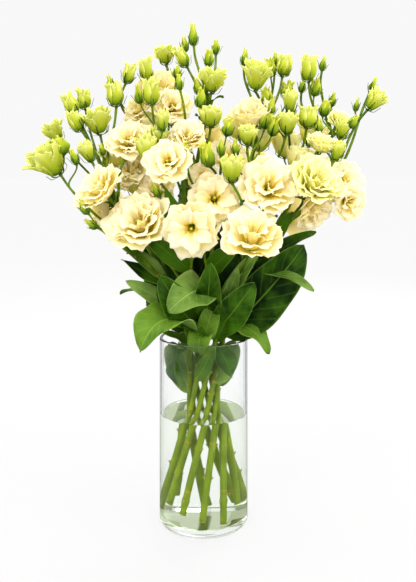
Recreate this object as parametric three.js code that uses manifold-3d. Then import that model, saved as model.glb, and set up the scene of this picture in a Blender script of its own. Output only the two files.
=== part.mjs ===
// Lisianthus bouquet in a clear glass cylinder vase.
// Millimetres, +Z up. The origin is the centre of the vase's underside, and the front faces -Y.
import * as THREE from 'three';
import { mergeVertices } from 'three/addons/utils/BufferGeometryUtils.js';
import Module from 'manifold-3d';

const wasm = await Module();
wasm.setup();

// Vase and water
const VASE = { radius: 50, height: 208, wall: 3.5, base: 8, footRound: 5, sides: 32 };
const WATER = { level: 122, sides: 32 };

// Gap between neighbouring pieces, and how much wider a piece is while it cuts its neighbour clear
const GAP = 0.5;

// Stems stand as a hand-tied spiral, narrowest at the waist
const STEM = { radius: 2.8, sides: 5, foot: 9.8, waist: 140, waistRadius: 16, slope: 0.25, bends: 6 };
const STALK = { radius: 1.7, sides: 3, points: 7, bends: 3, forkRise: 25, forkLean: 1.1 };
const CALYX = { radius: 2.4, sepal: 8, rise: 4, seat: 1.8 };

// A stalk keeps this distance from its neighbours while it settles between them
const SETTLE = { rounds: 120, clear: 1.6, step: 0.5, most: 2, share: 0.12 };

// The room a flower takes: a ball round its open part and a smaller one round its base, each with how far up
// the flower it is and its share of the flower's width
const BALLS = [
  { at: 0.7, share: 0.47 },
  { at: 0.3, share: 0.28 },
];

// Blades: petals and leaves
const BLADE = { half: 0.5, growHalf: 0.8, growEdge: 1.6 };
const LEAF = { steps: 4, narrow: 23, round: 0.8, cup: 0.3, wave: 1.5 };

// Colours
const COLOURS = {
  glass: { color: 0xe8f0f0, roughness: 0.05, metalness: 0, transparent: true, opacity: 0.35 },
  water: { color: 0xd9ebe4, roughness: 0.05, metalness: 0, transparent: true, opacity: 0.4 },
  green: { color: 0x4d8a2c, roughness: 0.5, metalness: 0 },
  cream: { color: 0xf7edcf, roughness: 0.6, metalness: 0, side: THREE.DoubleSide },
  lime: { color: 0xc9d97a, roughness: 0.6, metalness: 0 },
};

// Places are given as they line up from the front, on the plane through the vase's axis: x to the right and
// z up, with y as the depth behind that plane, for an eye at this point.
const EYE = new THREE.Vector3(5, -825, 397);

function place(x, z, y) {
  const scale = (y - EYE.y) / -EYE.y;
  return new THREE.Vector3(EYE.x + (x - EYE.x) * scale, y, EYE.z + (z - EYE.z) * scale);
}

// A bloom's place is the middle of its open face
function bloom(x, z, y, facing, across, whorls = 2) {
  const face = new THREE.Vector3(...facing).normalize();
  const deep = across * 0.56;
  const seat = place(x, z, y).addScaledVector(face, -deep);
  return { kind: 'bloom', seat, face, across, deep, whorls };
}

// A bloom that looks to the front hides its calyx and stands right on its stalk
const showsCalyx = ({ kind, face }) => kind !== 'bloom' || face.y > -0.5;

// A bud's place is its middle, and its lean is in degrees to the right
function bud(kind, x, z, y, lean, across, deep) {
  const turn = THREE.MathUtils.degToRad(lean);
  const face = new THREE.Vector3(Math.sin(turn), -0.12, Math.cos(turn)).normalize();
  const seat = place(x, z, y).addScaledVector(face, -deep / 2);
  return { kind, seat, face, across, deep };
}

const opening = (x, z, y, lean, across, deep) => bud('opening', x, z, y, lean, across, deep);
const furled = (x, z, y, lean, across, deep) => bud('furled', x, z, y, lean, across, deep);
const tight = (x, z, y, lean, across = 8, deep = 18) => bud('tight', x, z, y, lean, across, deep);

// A leaf grows from its stem at a height, to its tip. The bow is how far its middle stands off towards face.
const leaf = (height, tip, width, bow, face) => ({ height, tip: place(...tip), width, bow, face });

// Each stem: its place in the spiral in degrees, its flowers with the main stem's own first, and its leaves
const STEMS = [
  {
    name: 'front',
    turn: -90,
    flowers: [
      bloom(12, 369, -66, [0, -0.95, 0.25], 60),
      bloom(-17, 327, -94, [-0.1, -0.97, -0.1], 64),
      tight(-20, 422, -58, -3),
      tight(20, 425, -54, 2),
      furled(4, 416, -50, -10, 15, 26),
    ],
    leaves: [
      leaf(214, [-6, 184, -40], 26, 16, [0, -0.4, 1]),
      leaf(270, [-45, 258, -64], 32, 12, [0, -0.8, 0.8]),
      leaf(208, [14, 254, -38], 22, 4, [0, -1, 0.2]),
      leaf(285, [40, 312, -54], 22, 6, [0, -1, 0.4]),
      leaf(205, [-24, 230, -34], 20, 4, [0, -1, 0.3]),
      leaf(234, [8, 290, -66], 28, 6, [0, -1, 0.3]),
    ],
  },
  {
    name: 'front_right',
    turn: -54,
    flowers: [
      bloom(76, 389, -76, [0.05, -0.85, 0.45], 68),
      bloom(58, 331, -108, [0.05, -0.8, 0.55], 78),
      furled(32, 401, -68, 0, 22, 32),
      tight(36, 425, -44, 0),
      furled(51, 439, -40, 5, 20, 24),
    ],
    leaves: [
      leaf(212, [40, 284, -58], 20, -6, [0.2, -1, 0]),
      leaf(240, [64, 308, -40], 20, 12, [-0.3, -1, 0.4]),
      leaf(204, [34, 160, -24], 22, 4, [0.6, -1, 0]),
      leaf(206, [36, 248, -36], 20, 4, [0, -1, 0.2]),
      leaf(220, [58, 268, -58], 34, 8, [0.2, -0.9, 0.4]),
    ],
  },
  {
    name: 'right',
    turn: -18,
    flowers: [
      bloom(137, 398, -69, [0.35, -0.7, 0.6], 65),
      bloom(138, 346, -52, [0.55, -0.55, -0.5], 54),
      furled(154, 421, -34, 20, 14, 24),
    ],
    leaves: [
      leaf(210, [118, 312, -24], 56, 10, [0.2, -1, 0.1]),
      leaf(284, [127, 262, -48], 20, 6, [0, -0.5, 1]),
      leaf(222, [78, 188, -30], 28, 14, [0.3, -0.7, 1]),
      leaf(300, [102, 350, -34], 20, 4, [0, -1, 0.3]),
      leaf(228, [84, 258, 4], 32, 8, [0.3, -0.4, 0.9]),
    ],
  },
  {
    name: 'far_right',
    turn: 18,
    flowers: [
      bloom(174, 392, -14, [0.75, -0.4, 0.45], 46),
      bloom(178, 361, -38, [0.85, -0.5, -0.1], 34, 1),
      bloom(139, 437, -24, [0.3, -0.3, 0.9], 42, 1),
      opening(197, 478, 8, 40, 24, 28),
      tight(194, 496, 34, 23),
      furled(159, 447, 6, 12, 17, 26),
    ],
    leaves: [
      leaf(262, [128, 330, 12], 26, 8, [0, -0.6, 1]),
      leaf(222, [104, 264, 30], 38, 8, [0.3, -0.6, 0.8]),
    ],
  },
  {
    name: 'back_right',
    turn: 54,
    flowers: [
      bloom(158, 463, 50, [0.3, -0.3, 0.8], 34, 1),
      bloom(113, 351, 75, [0.7, 0.65, 0.2], 60),
      opening(120, 514, 24, 0, 17, 30),
      opening(119, 459, 4, 5, 20, 26),
      furled(99, 478, 10, 5, 17, 28),
      tight(114, 496, 44, 15),
      tight(137, 521, 52, 10),
      tight(148, 480, 66, 12),
    ],
    leaves: [
      leaf(240, [104, 296, 66], 36, 10, [0.3, 0.5, 1]),
      leaf(290, [58, 352, 56], 26, 4, [0.4, 0.5, 1]),
      leaf(225, [62, 240, 62], 32, 10, [0.4, 0.6, 1]),
    ],
  },
  {
    name: 'back',
    turn: 90,
    flowers: [
      bloom(51, 475, 16, [-0.35, -0.1, 0.93], 46),
      bloom(28, 422, -4, [0.1, -0.75, 0.65], 50, 1),
      bloom(62, 402, 104, [0.3, 0.85, 0.4], 62),
      opening(61, 506, 24, 8, 31, 36),
      opening(92, 518, 44, 8, 17, 27),
      tight(47, 528, 52, 8, 9, 21),
      tight(82, 526, 66, 3),
      furled(96, 453, -14, 5, 22, 28),
    ],
    leaves: [
      leaf(240, [20, 300, 78], 36, 10, [0, 0.6, 1]),
      leaf(280, [64, 330, 92], 28, 8, [0, 0.6, 1]),
      leaf(222, [-14, 244, 72], 30, 10, [0, 0.6, 1]),
    ],
  },
  {
    name: 'tall',
    turn: 126,
    flowers: [
      opening(10, 501, 2, 8, 29, 31),
      bloom(-1, 396, -26, [0, -0.8, 0.5], 40, 1),
      bloom(-4, 352, 110, [0, 0.95, 0.2], 64),
      bloom(2, 448, 72, [0, 0.5, 0.85], 48, 1),
      opening(-25, 527, 22, -28, 14, 24),
      tight(-12, 554, 14, -3, 10, 26),
      tight(14, 541, 32, 0, 9, 20),
      furled(6, 527, 6, 0, 10, 20),
      furled(8, 460, -16, 0, 26, 26),
    ],
    leaves: [
      leaf(246, [-40, 306, 74], 36, 10, [0, 0.6, 1]),
      leaf(290, [-14, 420, 60], 26, 5, [0, 1, 0.3]),
      leaf(226, [-66, 250, 58], 32, 10, [-0.3, 0.6, 1]),
    ],
  },
  {
    name: 'back_left',
    turn: 162,
    flowers: [
      bloom(-48, 504, 34, [0, -0.3, 0.9], 42),
      bloom(-36, 478, -10, [0.1, -0.8, 0.5], 42),
      bloom(-81, 472, 18, [-0.5, -0.5, 0.4], 36, 1),
      bloom(-62, 412, 100, [-0.3, 0.85, 0.5], 62),
      bloom(-116, 352, 72, [-0.7, 0.6, 0.2], 58),
      opening(-44, 530, 44, -5, 24, 24),
      opening(-66, 512, 26, -8, 15, 27),
      opening(-85, 509, 14, 19, 13, 24),
      opening(-60, 488, -20, -3, 18, 30),
      tight(-107, 500, 44, -20),
    ],
    leaves: [
      leaf(250, [-86, 308, 66], 34, 10, [-0.2, 0.6, 1]),
      leaf(292, [-40, 366, 74], 26, 6, [0, 0.8, 0.6]),
      leaf(232, [-96, 262, 34], 34, 10, [-0.4, 0.4, 1]),
      leaf(214, [-58, 290, 22], 36, 6, [-0.3, -0.8, 0.4]),
    ],
  },
  {
    name: 'far_left',
    turn: 198,
    flowers: [
      bloom(-132, 386, -50, [-0.6, -0.5, 0.6], 58),
      bloom(-130, 353, -8, [-0.85, -0.2, -0.1], 47, 1),
      bloom(-89, 404, -4, [-0.3, -0.6, 0.5], 50),
      bloom(-90, 442, -18, [-0.2, -0.6, 0.6], 48),
      opening(-178, 409, -12, -40, 40, 42),
      opening(-171, 442, 24, -30, 22, 27),
      opening(-147, 454, 6, -34, 15, 26),
      opening(-152, 474, 34, -28, 16, 26),
      opening(-137, 480, 56, -8, 16, 26),
      opening(-122, 455, 12, -12, 34, 34),
      opening(-101, 485, 4, -5, 18, 28),
      furled(-134, 420, -14, -25, 16, 26),
      tight(-130, 337, -40, -60, 9, 16),
    ],
    leaves: [
      leaf(275, [-101, 318, -32], 16, 5, [0, -0.8, 0.6]),
      leaf(268, [-92, 296, -48], 14, -3, [0, -0.8, 0.6]),
      leaf(240, [-89, 272, -14], 20, 3, [0, -1, 0.5]),
      leaf(216, [-66, 250, -4], 32, 8, [-0.4, -0.4, 0.9]),
    ],
  },
  {
    name: 'front_left',
    turn: 234,
    flowers: [
      bloom(-19, 444, -38, [0, -0.8, 0.6], 44),
      bloom(-45, 413, -72, [-0.2, -0.85, 0.4], 46),
      bloom(-82, 349, -72, [-0.25, -0.75, 0.55], 74),
      bloom(-58, 380, -24, [-0.2, -0.8, 0.4], 44, 1),
      furled(-65, 424, -42, -8, 22, 34),
      tight(-28, 500, -26, -5),
    ],
    leaves: [
      leaf(218, [-80, 193, -62], 60, 24, [-0.5, -0.6, 0.8]),
      leaf(285, [-72, 328, -46], 22, 4, [0, -1, 0.3]),
      leaf(205, [-28, 146, -28], 26, 12, [-1, -0.4, 0]),
      leaf(300, [-44, 376, -46], 22, 4, [0, -1, 0.2]),
      leaf(206, [-48, 217, -34], 14, -3, [0, -0.6, 1]),
      leaf(228, [-50, 276, -58], 34, 8, [-0.2, -0.9, 0.4]),
    ],
  },
];

// Solids from geometry and back
function solidOf(geometry) {
  geometry.deleteAttribute('normal');
  geometry.deleteAttribute('uv');
  const merged = mergeVertices(geometry, 1e-4);
  const vertProperties = new Float32Array(merged.attributes.position.array);
  const triVerts = new Uint32Array(merged.index.array);
  return new wasm.Manifold(new wasm.Mesh({ numProp: 3, vertProperties, triVerts }));
}

function solidFrom(points, triangles) {
  const geometry = new THREE.BufferGeometry().setFromPoints(points);
  geometry.setIndex(triangles);
  return solidOf(geometry);
}

function geometryOf(solid) {
  const mesh = solid.getMesh();
  const geometry = new THREE.BufferGeometry();
  geometry.setAttribute('position', new THREE.BufferAttribute(mesh.vertProperties, 3));
  geometry.setIndex(new THREE.BufferAttribute(mesh.triVerts, 1));
  geometry.computeVertexNormals();
  return geometry;
}

const joined = (solids) => solids.reduce((whole, solid) => whole.add(solid));

// The largest body alone: scraps and sealed hollows go
function largestBody(solid) {
  const bodies = solid.decompose();
  return bodies.reduce((best, body) => (body.volume() > best.volume() ? body : best));
}

function boxesMeet(one, other) {
  const a = one.boundingBox();
  const b = other.boundingBox();
  return [0, 1, 2].every((axis) => a.min[axis] < b.max[axis] && b.min[axis] < a.max[axis]);
}

function cutClear(solid, cutters) {
  let rest = solid;
  for (const cutter of cutters) {
    if (boxesMeet(rest, cutter)) rest = rest.subtract(cutter);
  }
  return rest;
}

// A closed blade: a rim of left and right points, and a row of ribs that stand out on both faces
function blade({ base, tip, left, right, ribs, normals }, half) {
  const steps = ribs.length;
  const points = [base, tip, ...left, ...right];
  ribs.forEach((rib, i) => points.push(rib.clone().addScaledVector(normals[i], half)));
  ribs.forEach((rib, i) => points.push(rib.clone().addScaledVector(normals[i], -half)));
  const at = (row, i) => 2 + row * steps + i;
  const triangles = [];
  for (const [row, flip] of [[2, false], [3, true]]) {
    const face = (a, b, c) => triangles.push(...(flip ? [a, c, b] : [a, b, c]));
    face(0, at(1, 0), at(row, 0));
    face(0, at(row, 0), at(0, 0));
    for (let i = 0; i + 1 < steps; i += 1) {
      face(at(row, i), at(1, i), at(1, i + 1));
      face(at(row, i), at(1, i + 1), at(row, i + 1));
      face(at(row, i), at(row, i + 1), at(0, i + 1));
      face(at(row, i), at(0, i + 1), at(0, i));
    }
    face(at(row, steps - 1), at(1, steps - 1), 1);
    face(at(row, steps - 1), 1, at(0, steps - 1));
  }
  return solidFrom(points, triangles);
}

// Leaf: ovate, bowed, cupped along its midrib and waved at its edges
function leafShape(base, { tip, width, bow, face }, wave, grow) {
  const along = tip.clone().sub(base).normalize();
  const facing = new THREE.Vector3(...face);
  const up = facing.addScaledVector(along, -facing.dot(along)).normalize();
  const bend = base.clone().add(tip).multiplyScalar(0.5).addScaledVector(up, bow * 2);
  const spine = new THREE.QuadraticBezierCurve3(base, bend, tip);
  const shape = { base, tip: tip.clone(), left: [], right: [], ribs: [], normals: [] };
  const steps = width < LEAF.narrow ? LEAF.steps - 1 : LEAF.steps;
  for (let i = 1; i <= steps; i += 1) {
    const t = i / (steps + 1);
    const rib = spine.getPoint(t);
    const tangent = spine.getTangent(t);
    const normal = up.clone().addScaledVector(tangent, -up.dot(tangent)).normalize();
    const side = new THREE.Vector3().crossVectors(tangent, normal);
    const reach = (width / 2) * Math.sin(Math.PI * t ** LEAF.round) + grow * BLADE.growEdge;
    const lift = reach * LEAF.cup;
    const ripple = wave * Math.sin(i * 2.1);
    shape.ribs.push(rib);
    shape.normals.push(normal);
    shape.left.push(rib.clone().addScaledVector(side, -reach).addScaledVector(normal, lift + ripple));
    shape.right.push(rib.clone().addScaledVector(side, reach).addScaledVector(normal, lift - ripple));
  }
  return shape;
}

function leafSolid(points, spec, index, grow) {
  const wave = index % 2 ? LEAF.wave : -LEAF.wave;
  const shape = leafShape(stemPoint(points, spec.height), spec, wave, grow);
  return blade(shape, BLADE.half + grow * BLADE.growHalf);
}

// Turns a shape made along +Z to stand on its seat and look along its face
function stand(solid, { seat, face }, off) {
  const turn = new THREE.Quaternion().setFromUnitVectors(new THREE.Vector3(0, 0, 1), face);
  const matrix = new THREE.Matrix4().makeRotationFromQuaternion(turn);
  matrix.setPosition(seat.clone().addScaledVector(face, off));
  return solid.transform(matrix.elements);
}

function polar(radius, angle, height) {
  return new THREE.Vector3(radius * Math.cos(angle), radius * Math.sin(angle), height);
}

// Whorls of five petals, each half a petal on from the one outside it: how far it flares and rises, where its
// roots ring the core, and how wide a petal is at its waist and near its rim
const WHORLS = [
  { flare: 1.06, reach: 0.74, root: 3.6, level: 3, steps: [0.42, 0.9], widths: [0.8, 0.96] },
  { flare: 0.66, reach: 0.96, root: 2.4, level: 5.6, steps: [0.78], widths: [0.9] },
];
const PETALS = 5;

// A petal swells out low down, stands up as a cup and turns out again at its rim
const cupShare = (t) => 0.82 * Math.sqrt(t) + 0.18 * t ** 6;

// One petal's cross-sections from its waist to its rim, each a rhomb of left, outer, right and inner points
function petalSections(whorl, flower, middle, ruffle, grow) {
  const radius = (t) => whorl.root + ((flower.across / 2) * whorl.flare - whorl.root) * cupShare(t);
  const height = (t) => whorl.level + (flower.deep * whorl.reach - whorl.level) * t ** 1.35;
  const point = (t) => new THREE.Vector2(radius(t), height(t));
  const slope = (t) => point(t).sub(point(t - 0.1)).normalize();
  const edge = (angle, t, lift) => {
    const further = slope(t).multiplyScalar(grow * BLADE.growEdge * t ** 3);
    return polar(radius(t) + lift + further.x, angle, height(t) + 0.5 * lift + further.y);
  };
  const sections = whorl.steps.map((t, i) => {
    const half = (Math.PI / PETALS) * whorl.widths[i] + (grow * BLADE.growEdge) / radius(t);
    const wave = ruffle * flower.across * 0.06 * t ** 2;
    const thick = slope(t).multiplyScalar(BLADE.half + grow * BLADE.growHalf);
    return [
      edge(middle - half, t, wave),
      polar(radius(t) + thick.y, middle, height(t) - thick.x),
      edge(middle + half, t, -wave),
      polar(radius(t) - thick.y, middle, height(t) + thick.x),
    ];
  });
  return { sections, tip: edge(middle, 1, 0) };
}

// The ten points of a whorl's root ring, where petals are side by side: its lower and its upper line
function rootRings(whorl, index, turn) {
  const rings = { lower: [], upper: [] };
  for (let k = 0; k < 2 * PETALS; k += 1) {
    const angle = (k * Math.PI) / PETALS + turn;
    const side = polar(whorl.root, angle, whorl.level);
    const isMiddle = k % 2 === index % 2;
    rings.lower.push(isMiddle ? polar(whorl.root + 0.3, angle, whorl.level - 0.9) : side);
    rings.upper.push(isMiddle ? polar(whorl.root - 0.3, angle, whorl.level + 0.9) : side);
  }
  return rings;
}

// An open bloom: whorls of petals that grow out of one small core
function bloomSolid(flower, grow = 0) {
  const points = [];
  const triangles = [];
  const add = (point) => points.push(point) - 1;
  const count = 2 * PETALS;
  const turn = flower.seat.x;
  const whorls = WHORLS.slice(0, flower.whorls);
  let below = null;
  whorls.forEach((whorl, index) => {
    const rings = rootRings(whorl, index, turn);
    const lower = rings.lower.map(add);
    const upper = rings.upper.map((point, k) => (k % 2 === index % 2 ? add(point) : lower[k]));
    const bottom = below ? null : add(new THREE.Vector3(0, 0, -grow));
    for (let k = 0; k < count; k += 1) {
      const next = (k + 1) % count;
      if (below) triangles.push(below[k], below[next], lower[next], below[k], lower[next], lower[k]);
      else triangles.push(bottom, lower[next], lower[k]);
    }
    for (let i = 0; i < PETALS; i += 1) {
      const k = (2 * i + (index % 2)) % count;
      const middle = (k * Math.PI) / PETALS + turn;
      const { sections, tip } = petalSections(whorl, flower, middle, i % 2 ? 1 : -1, grow);
      let from = [lower[(k + count - 1) % count], lower[k], lower[(k + 1) % count], upper[k]];
      for (const section of sections) {
        const to = section.map(add);
        from.forEach((p, j) => {
          const q = (j + 1) % 4;
          triangles.push(p, from[q], to[q], p, to[q], to[j]);
        });
        from = to;
      }
      const end = add(tip);
      from.forEach((p, j) => triangles.push(p, from[(j + 1) % 4], end));
    }
    below = upper;
  });
  const centre = flower.whorls === 1 ? flower.deep * 0.55 : 9;
  const top = add(new THREE.Vector3(0, 0, centre));
  for (let k = 0; k < count; k += 1) triangles.push(top, below[k], below[(k + 1) % count]);
  return stand(solidFrom(points, triangles), flower, showsCalyx(flower) ? CALYX.seat : GAP);
}

// A ring-by-ring solid: an apex, rings of the same number of points, and an end point
function ringSolid(count, start, rings, end) {
  const points = [new THREE.Vector3(0, 0, start), new THREE.Vector3(0, 0, end)];
  rings.forEach((ring) => {
    for (let i = 0; i < count; i += 1) points.push(ring(i));
  });
  const at = (row, i) => 2 + row * count + (i % count);
  const triangles = [];
  for (let i = 0; i < count; i += 1) {
    triangles.push(0, at(0, i + 1), at(0, i));
    for (let row = 0; row + 1 < rings.length; row += 1) {
      triangles.push(at(row, i), at(row, i + 1), at(row + 1, i + 1));
      triangles.push(at(row, i), at(row + 1, i + 1), at(row + 1, i));
    }
    triangles.push(1, at(rings.length - 1, i), at(rings.length - 1, i + 1));
  }
  return solidFrom(points, triangles);
}

// Rings of a half-open bud: five petals still rolled round each other, their tips parting at the top
function openingRings({ across, deep }, grow) {
  const half = across / 2 + grow;
  const step = Math.PI / PETALS;
  const ridge = (i, high, low) => (i % 2 ? low : high);
  return [
    (i) => polar(half * ridge(i, 1, 0.74), (i + 0.5) * step, deep * 0.5 + grow),
    (i) => polar(half * ridge(i, 0.92, 0.42), (i + 1.1) * step, deep * ridge(i, 1, 0.84) + grow),
  ];
}

// Ring of a calyx: five thin sepals that spread out round the flower's base
function sepalRing(sepal, grow) {
  return (i) => {
    const tip = i % 2 === 0;
    return polar((tip ? sepal : CALYX.radius) + grow, (i * Math.PI) / PETALS, tip ? CALYX.rise : 0.4);
  };
}

function openingSolid(flower, grow = 0) {
  const { across, deep } = flower;
  const start = (i) => polar(across * 0.3 + grow, (i * Math.PI) / PETALS, deep * 0.16);
  const rings = [start, ...openingRings(flower, grow)];
  return stand(ringSolid(2 * PETALS, -grow, rings, deep * 0.72 + grow), flower, CALYX.seat);
}

// What a stalk ends in: a bare calyx, or a calyx with a small bud that is still one with it
function stalkEndSolid(flower, grow = 0) {
  const { kind, across, deep } = flower;
  const sepals = sepalRing(kind === 'bloom' ? CALYX.sepal : CALYX.sepal * 0.8, grow);
  const rings = [sepals];
  let top = 1.2;
  if (kind === 'furled') {
    rings.push(...openingRings(flower, grow));
    top = deep * 0.72;
  }
  if (kind === 'tight') {
    rings.push((i) => polar(across / 2 + grow, ((i + 0.8) * Math.PI) / PETALS, deep * 0.4));
    top = deep;
  }
  return stand(ringSolid(2 * PETALS, -2.5 - grow, rings, top + grow), flower, 0);
}

// Tubes along a line of points
function tubeSolid(points, radius, sides, steps) {
  const outline = [];
  for (let i = 0; i < sides; i += 1) {
    const angle = (i / sides) * 2 * Math.PI;
    outline.push(new THREE.Vector2(radius * Math.cos(angle), radius * Math.sin(angle)));
  }
  const path = new THREE.CatmullRomCurve3(points);
  const options = { steps, bevelEnabled: false, extrudePath: path };
  return solidOf(new THREE.ExtrudeGeometry(new THREE.Shape(outline), options));
}

// Main stem: a straight line of the spiral up to the rim, then a curve to its first flower
function spiralPoint(angle, height) {
  const along = (height - STEM.waist) * STEM.slope;
  const x = STEM.waistRadius * Math.cos(angle) - along * Math.sin(angle);
  const y = STEM.waistRadius * Math.sin(angle) + along * Math.cos(angle);
  return new THREE.Vector3(x, y, height);
}

function curvePoints(start, out, end, arrive, count) {
  const reach = start.distanceTo(end);
  const first = start.clone().addScaledVector(out, reach * 0.36);
  const last = end.clone().addScaledVector(arrive, -Math.min(reach * 0.36, 42));
  return new THREE.CubicBezierCurve3(start, first, last, end).getPoints(count);
}

function mainRoute(stem) {
  const swing = Math.atan(((VASE.height - STEM.waist) * STEM.slope) / STEM.waistRadius);
  const angle = THREE.MathUtils.degToRad(stem.turn) - swing;
  const heights = [STEM.foot, 75, STEM.waist, VASE.height];
  const low = heights.map((height) => spiralPoint(angle, height));
  const out = low[3].clone().sub(low[2]).normalize();
  const lead = stem.flowers[0];
  const high = curvePoints(low[3], out, lead.seat, lead.face, 9);
  const points = [...low, ...high.slice(1)];
  return { stem, flower: lead, radius: STEM.radius, points, held: low.length };
}

// A side stalk leaves the main stem low enough to lean out at a natural angle
function forkIndex(points, seat) {
  let index = 4;
  for (let i = 5; i < points.length - 1; i += 1) {
    const level = Math.hypot(points[i].x - seat.x, points[i].y - seat.y);
    if (seat.z - points[i].z >= STALK.forkRise + STALK.forkLean * level) index = i;
  }
  return index;
}

function sideRoute(stem, main, flower) {
  const fork = forkIndex(main.points, flower.seat);
  const start = main.points[fork].clone();
  const out = main.points[fork].clone().sub(main.points[fork - 1]).normalize();
  const points = curvePoints(start, out, flower.seat, flower.face, STALK.points - 1);
  return { stem, flower, radius: STALK.radius, points, held: 1, main, fork };
}

function makeRoutes() {
  const routes = [];
  for (const stem of STEMS) {
    const main = mainRoute(stem);
    routes.push(main);
    for (const flower of stem.flowers.slice(1)) routes.push(sideRoute(stem, main, flower));
  }
  return routes;
}

// A flower keeps stalks out of these balls
function keepOut(route) {
  const { seat, face, across, deep } = route.flower;
  return BALLS.map(({ at, share }) => {
    const centre = seat.clone().addScaledVector(face, deep * at);
    return { route, centre, radius: across * share };
  });
}

// Nearest points of two segments, as their shares s and t and the vector between them
function nearest(a, b, c, d) {
  const u = b.clone().sub(a);
  const v = d.clone().sub(c);
  const w = a.clone().sub(c);
  const uu = u.dot(u);
  const uv = u.dot(v);
  const vv = v.dot(v);
  const uw = u.dot(w);
  const vw = v.dot(w);
  const clamp = (value) => Math.min(1, Math.max(0, value));
  let s = clamp((uv * vw - vv * uw) / Math.max(uu * vv - uv * uv, 1e-9));
  const t = clamp((uv * s + vw) / vv);
  s = clamp((uv * t - uw) / uu);
  const between = a.clone().addScaledVector(u, s).sub(c).addScaledVector(v, -t);
  return { s, t, between };
}

// Stalks ease apart, round by round, until each has its room between the others and the flowers
function settle(routes) {
  const pieces = [];
  routes.forEach((route) => {
    for (let i = 0; i + 1 < route.points.length; i += 1) pieces.push({ route, i });
  });
  const balls = routes.flatMap(keepOut);
  routes.forEach((route) => {
    route.first = route.points.map((point) => point.clone());
    route.moved = route.points.map(() => new THREE.Vector3());
  });
  for (let round = 0; round < SETTLE.rounds; round += 1) {
    routes.forEach((route) => {
      route.push = route.points.map(() => new THREE.Vector3());
    });
    pushStalks(pieces);
    pushFromFlowers(pieces, balls);
    routes.forEach(movePoints);
  }
}

function pushStalks(pieces) {
  for (let m = 0; m < pieces.length; m += 1) {
    const { route: one, i } = pieces[m];
    const [a, b] = [one.points[i], one.points[i + 1]];
    for (let n = m + 1; n < pieces.length; n += 1) {
      const { route: other, i: j } = pieces[n];
      if (one.stem === other.stem) continue;
      const [c, d] = [other.points[j], other.points[j + 1]];
      const need = one.radius + other.radius + SETTLE.clear;
      if (Math.abs(a.x + b.x - c.x - d.x) > 100 || Math.abs(a.z + b.z - c.z - d.z) > 100) continue;
      const { s, t, between } = nearest(a, b, c, d);
      const gap = between.length();
      if (gap >= need) continue;
      const shift = between.multiplyScalar(((need - gap) / Math.max(gap, 0.01)) * SETTLE.step);
      one.push[i].addScaledVector(shift, 1 - s);
      one.push[i + 1].addScaledVector(shift, s);
      other.push[j].addScaledVector(shift, t - 1);
      other.push[j + 1].addScaledVector(shift, -t);
    }
  }
}

function pushFromFlowers(pieces, balls) {
  for (const { route, i } of pieces) {
    for (const ball of balls) {
      if (ball.route === route) continue;
      const [a, b] = [route.points[i], route.points[i + 1]];
      const along = b.clone().sub(a);
      const share = ball.centre.clone().sub(a).dot(along) / along.lengthSq();
      const s = Math.min(1, Math.max(0, share));
      const between = a.clone().addScaledVector(along, s).sub(ball.centre);
      const need = ball.radius + route.radius + SETTLE.clear;
      const gap = between.length();
      if (gap >= need) continue;
      const shift = between.multiplyScalar(((need - gap) / Math.max(gap, 0.01)) * SETTLE.step);
      route.push[i].addScaledVector(shift, 1 - s);
      route.push[i + 1].addScaledVector(shift, s);
    }
  }
}

function movePoints(route) {
  const last = route.points.length - 1;
  const { push } = route;
  for (let i = route.held; i < last; i += 1) route.moved[i].add(push[i].clampLength(0, SETTLE.most));
  for (let i = route.held; i < last; i += 1) {
    const around = route.moved[i - 1].clone().add(route.moved[i + 1]).multiplyScalar(0.5);
    route.moved[i].lerp(around, SETTLE.share);
    route.points[i].copy(route.first[i]).add(route.moved[i]);
  }
  if (route.main) {
    route.moved[0].copy(route.main.moved[route.fork]);
    route.points[0].copy(route.main.points[route.fork]);
  }
}

// Leaf bases lie on the main stem at the leaf's height
function stemPoint(points, height) {
  for (let i = 0; i + 1 < points.length; i += 1) {
    const [low, high] = [points[i], points[i + 1]];
    if (high.z < height) continue;
    return low.clone().lerp(high, (height - low.z) / (high.z - low.z));
  }
  return points.at(-1).clone();
}

// Vase: a cylinder with a thick base, a rounded foot and a rounded rim
function vaseProfile(grow) {
  const { radius, height, wall, base, footRound } = VASE;
  const point = (x, y) => new THREE.Vector2(x, y);
  const inner = radius - wall - grow;
  return [
    point(0, -grow),
    point(radius - footRound, -grow),
    point(radius - footRound * 0.3, footRound * 0.3),
    point(radius + grow, footRound),
    point(radius + grow, height - wall / 2),
    point(radius - wall / 2, height + grow),
    point(inner, height - wall / 2),
    point(inner, base + wall),
    point(inner - wall, base + grow),
    point(0, base + grow),
  ];
}

const turned = (profile, sides) => solidOf(new THREE.LatheGeometry(profile, sides).rotateX(Math.PI / 2));

const vaseSolid = (grow = 0) => turned(vaseProfile(grow), VASE.sides);

function waterSolid() {
  const { radius, wall, base } = VASE;
  const outer = radius - wall - GAP;
  const profile = [
    new THREE.Vector2(0, base + GAP),
    new THREE.Vector2(outer - wall - GAP, base + GAP),
    new THREE.Vector2(outer, base + wall + GAP),
    new THREE.Vector2(outer, WATER.level),
    new THREE.Vector2(0, WATER.level),
  ];
  return turned(profile, WATER.sides);
}

// A main stem is straight in the vase and curves above it
function mainTube(points, grow) {
  const radius = STEM.radius + grow;
  const straight = tubeSolid([points[0], points[3]], radius, STEM.sides, 1);
  const curved = [points[2].clone().lerp(points[3], 0.8), ...points.slice(4)];
  return straight.add(tubeSolid(curved, radius, STEM.sides, STEM.bends));
}

// The green parts of a stem that keep their place: tubes, calyxes and closed buds
function stemFrame(routes, stem, grow) {
  const solids = [];
  for (const { flower, main, points, stem: owner } of routes) {
    if (owner !== stem) continue;
    if (main) solids.push(tubeSolid(points, STALK.radius + grow, STALK.sides, STALK.bends));
    else solids.push(mainTube(points, grow));
    if (showsCalyx(flower)) solids.push(stalkEndSolid(flower, grow));
  }
  return joined(solids);
}

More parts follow.
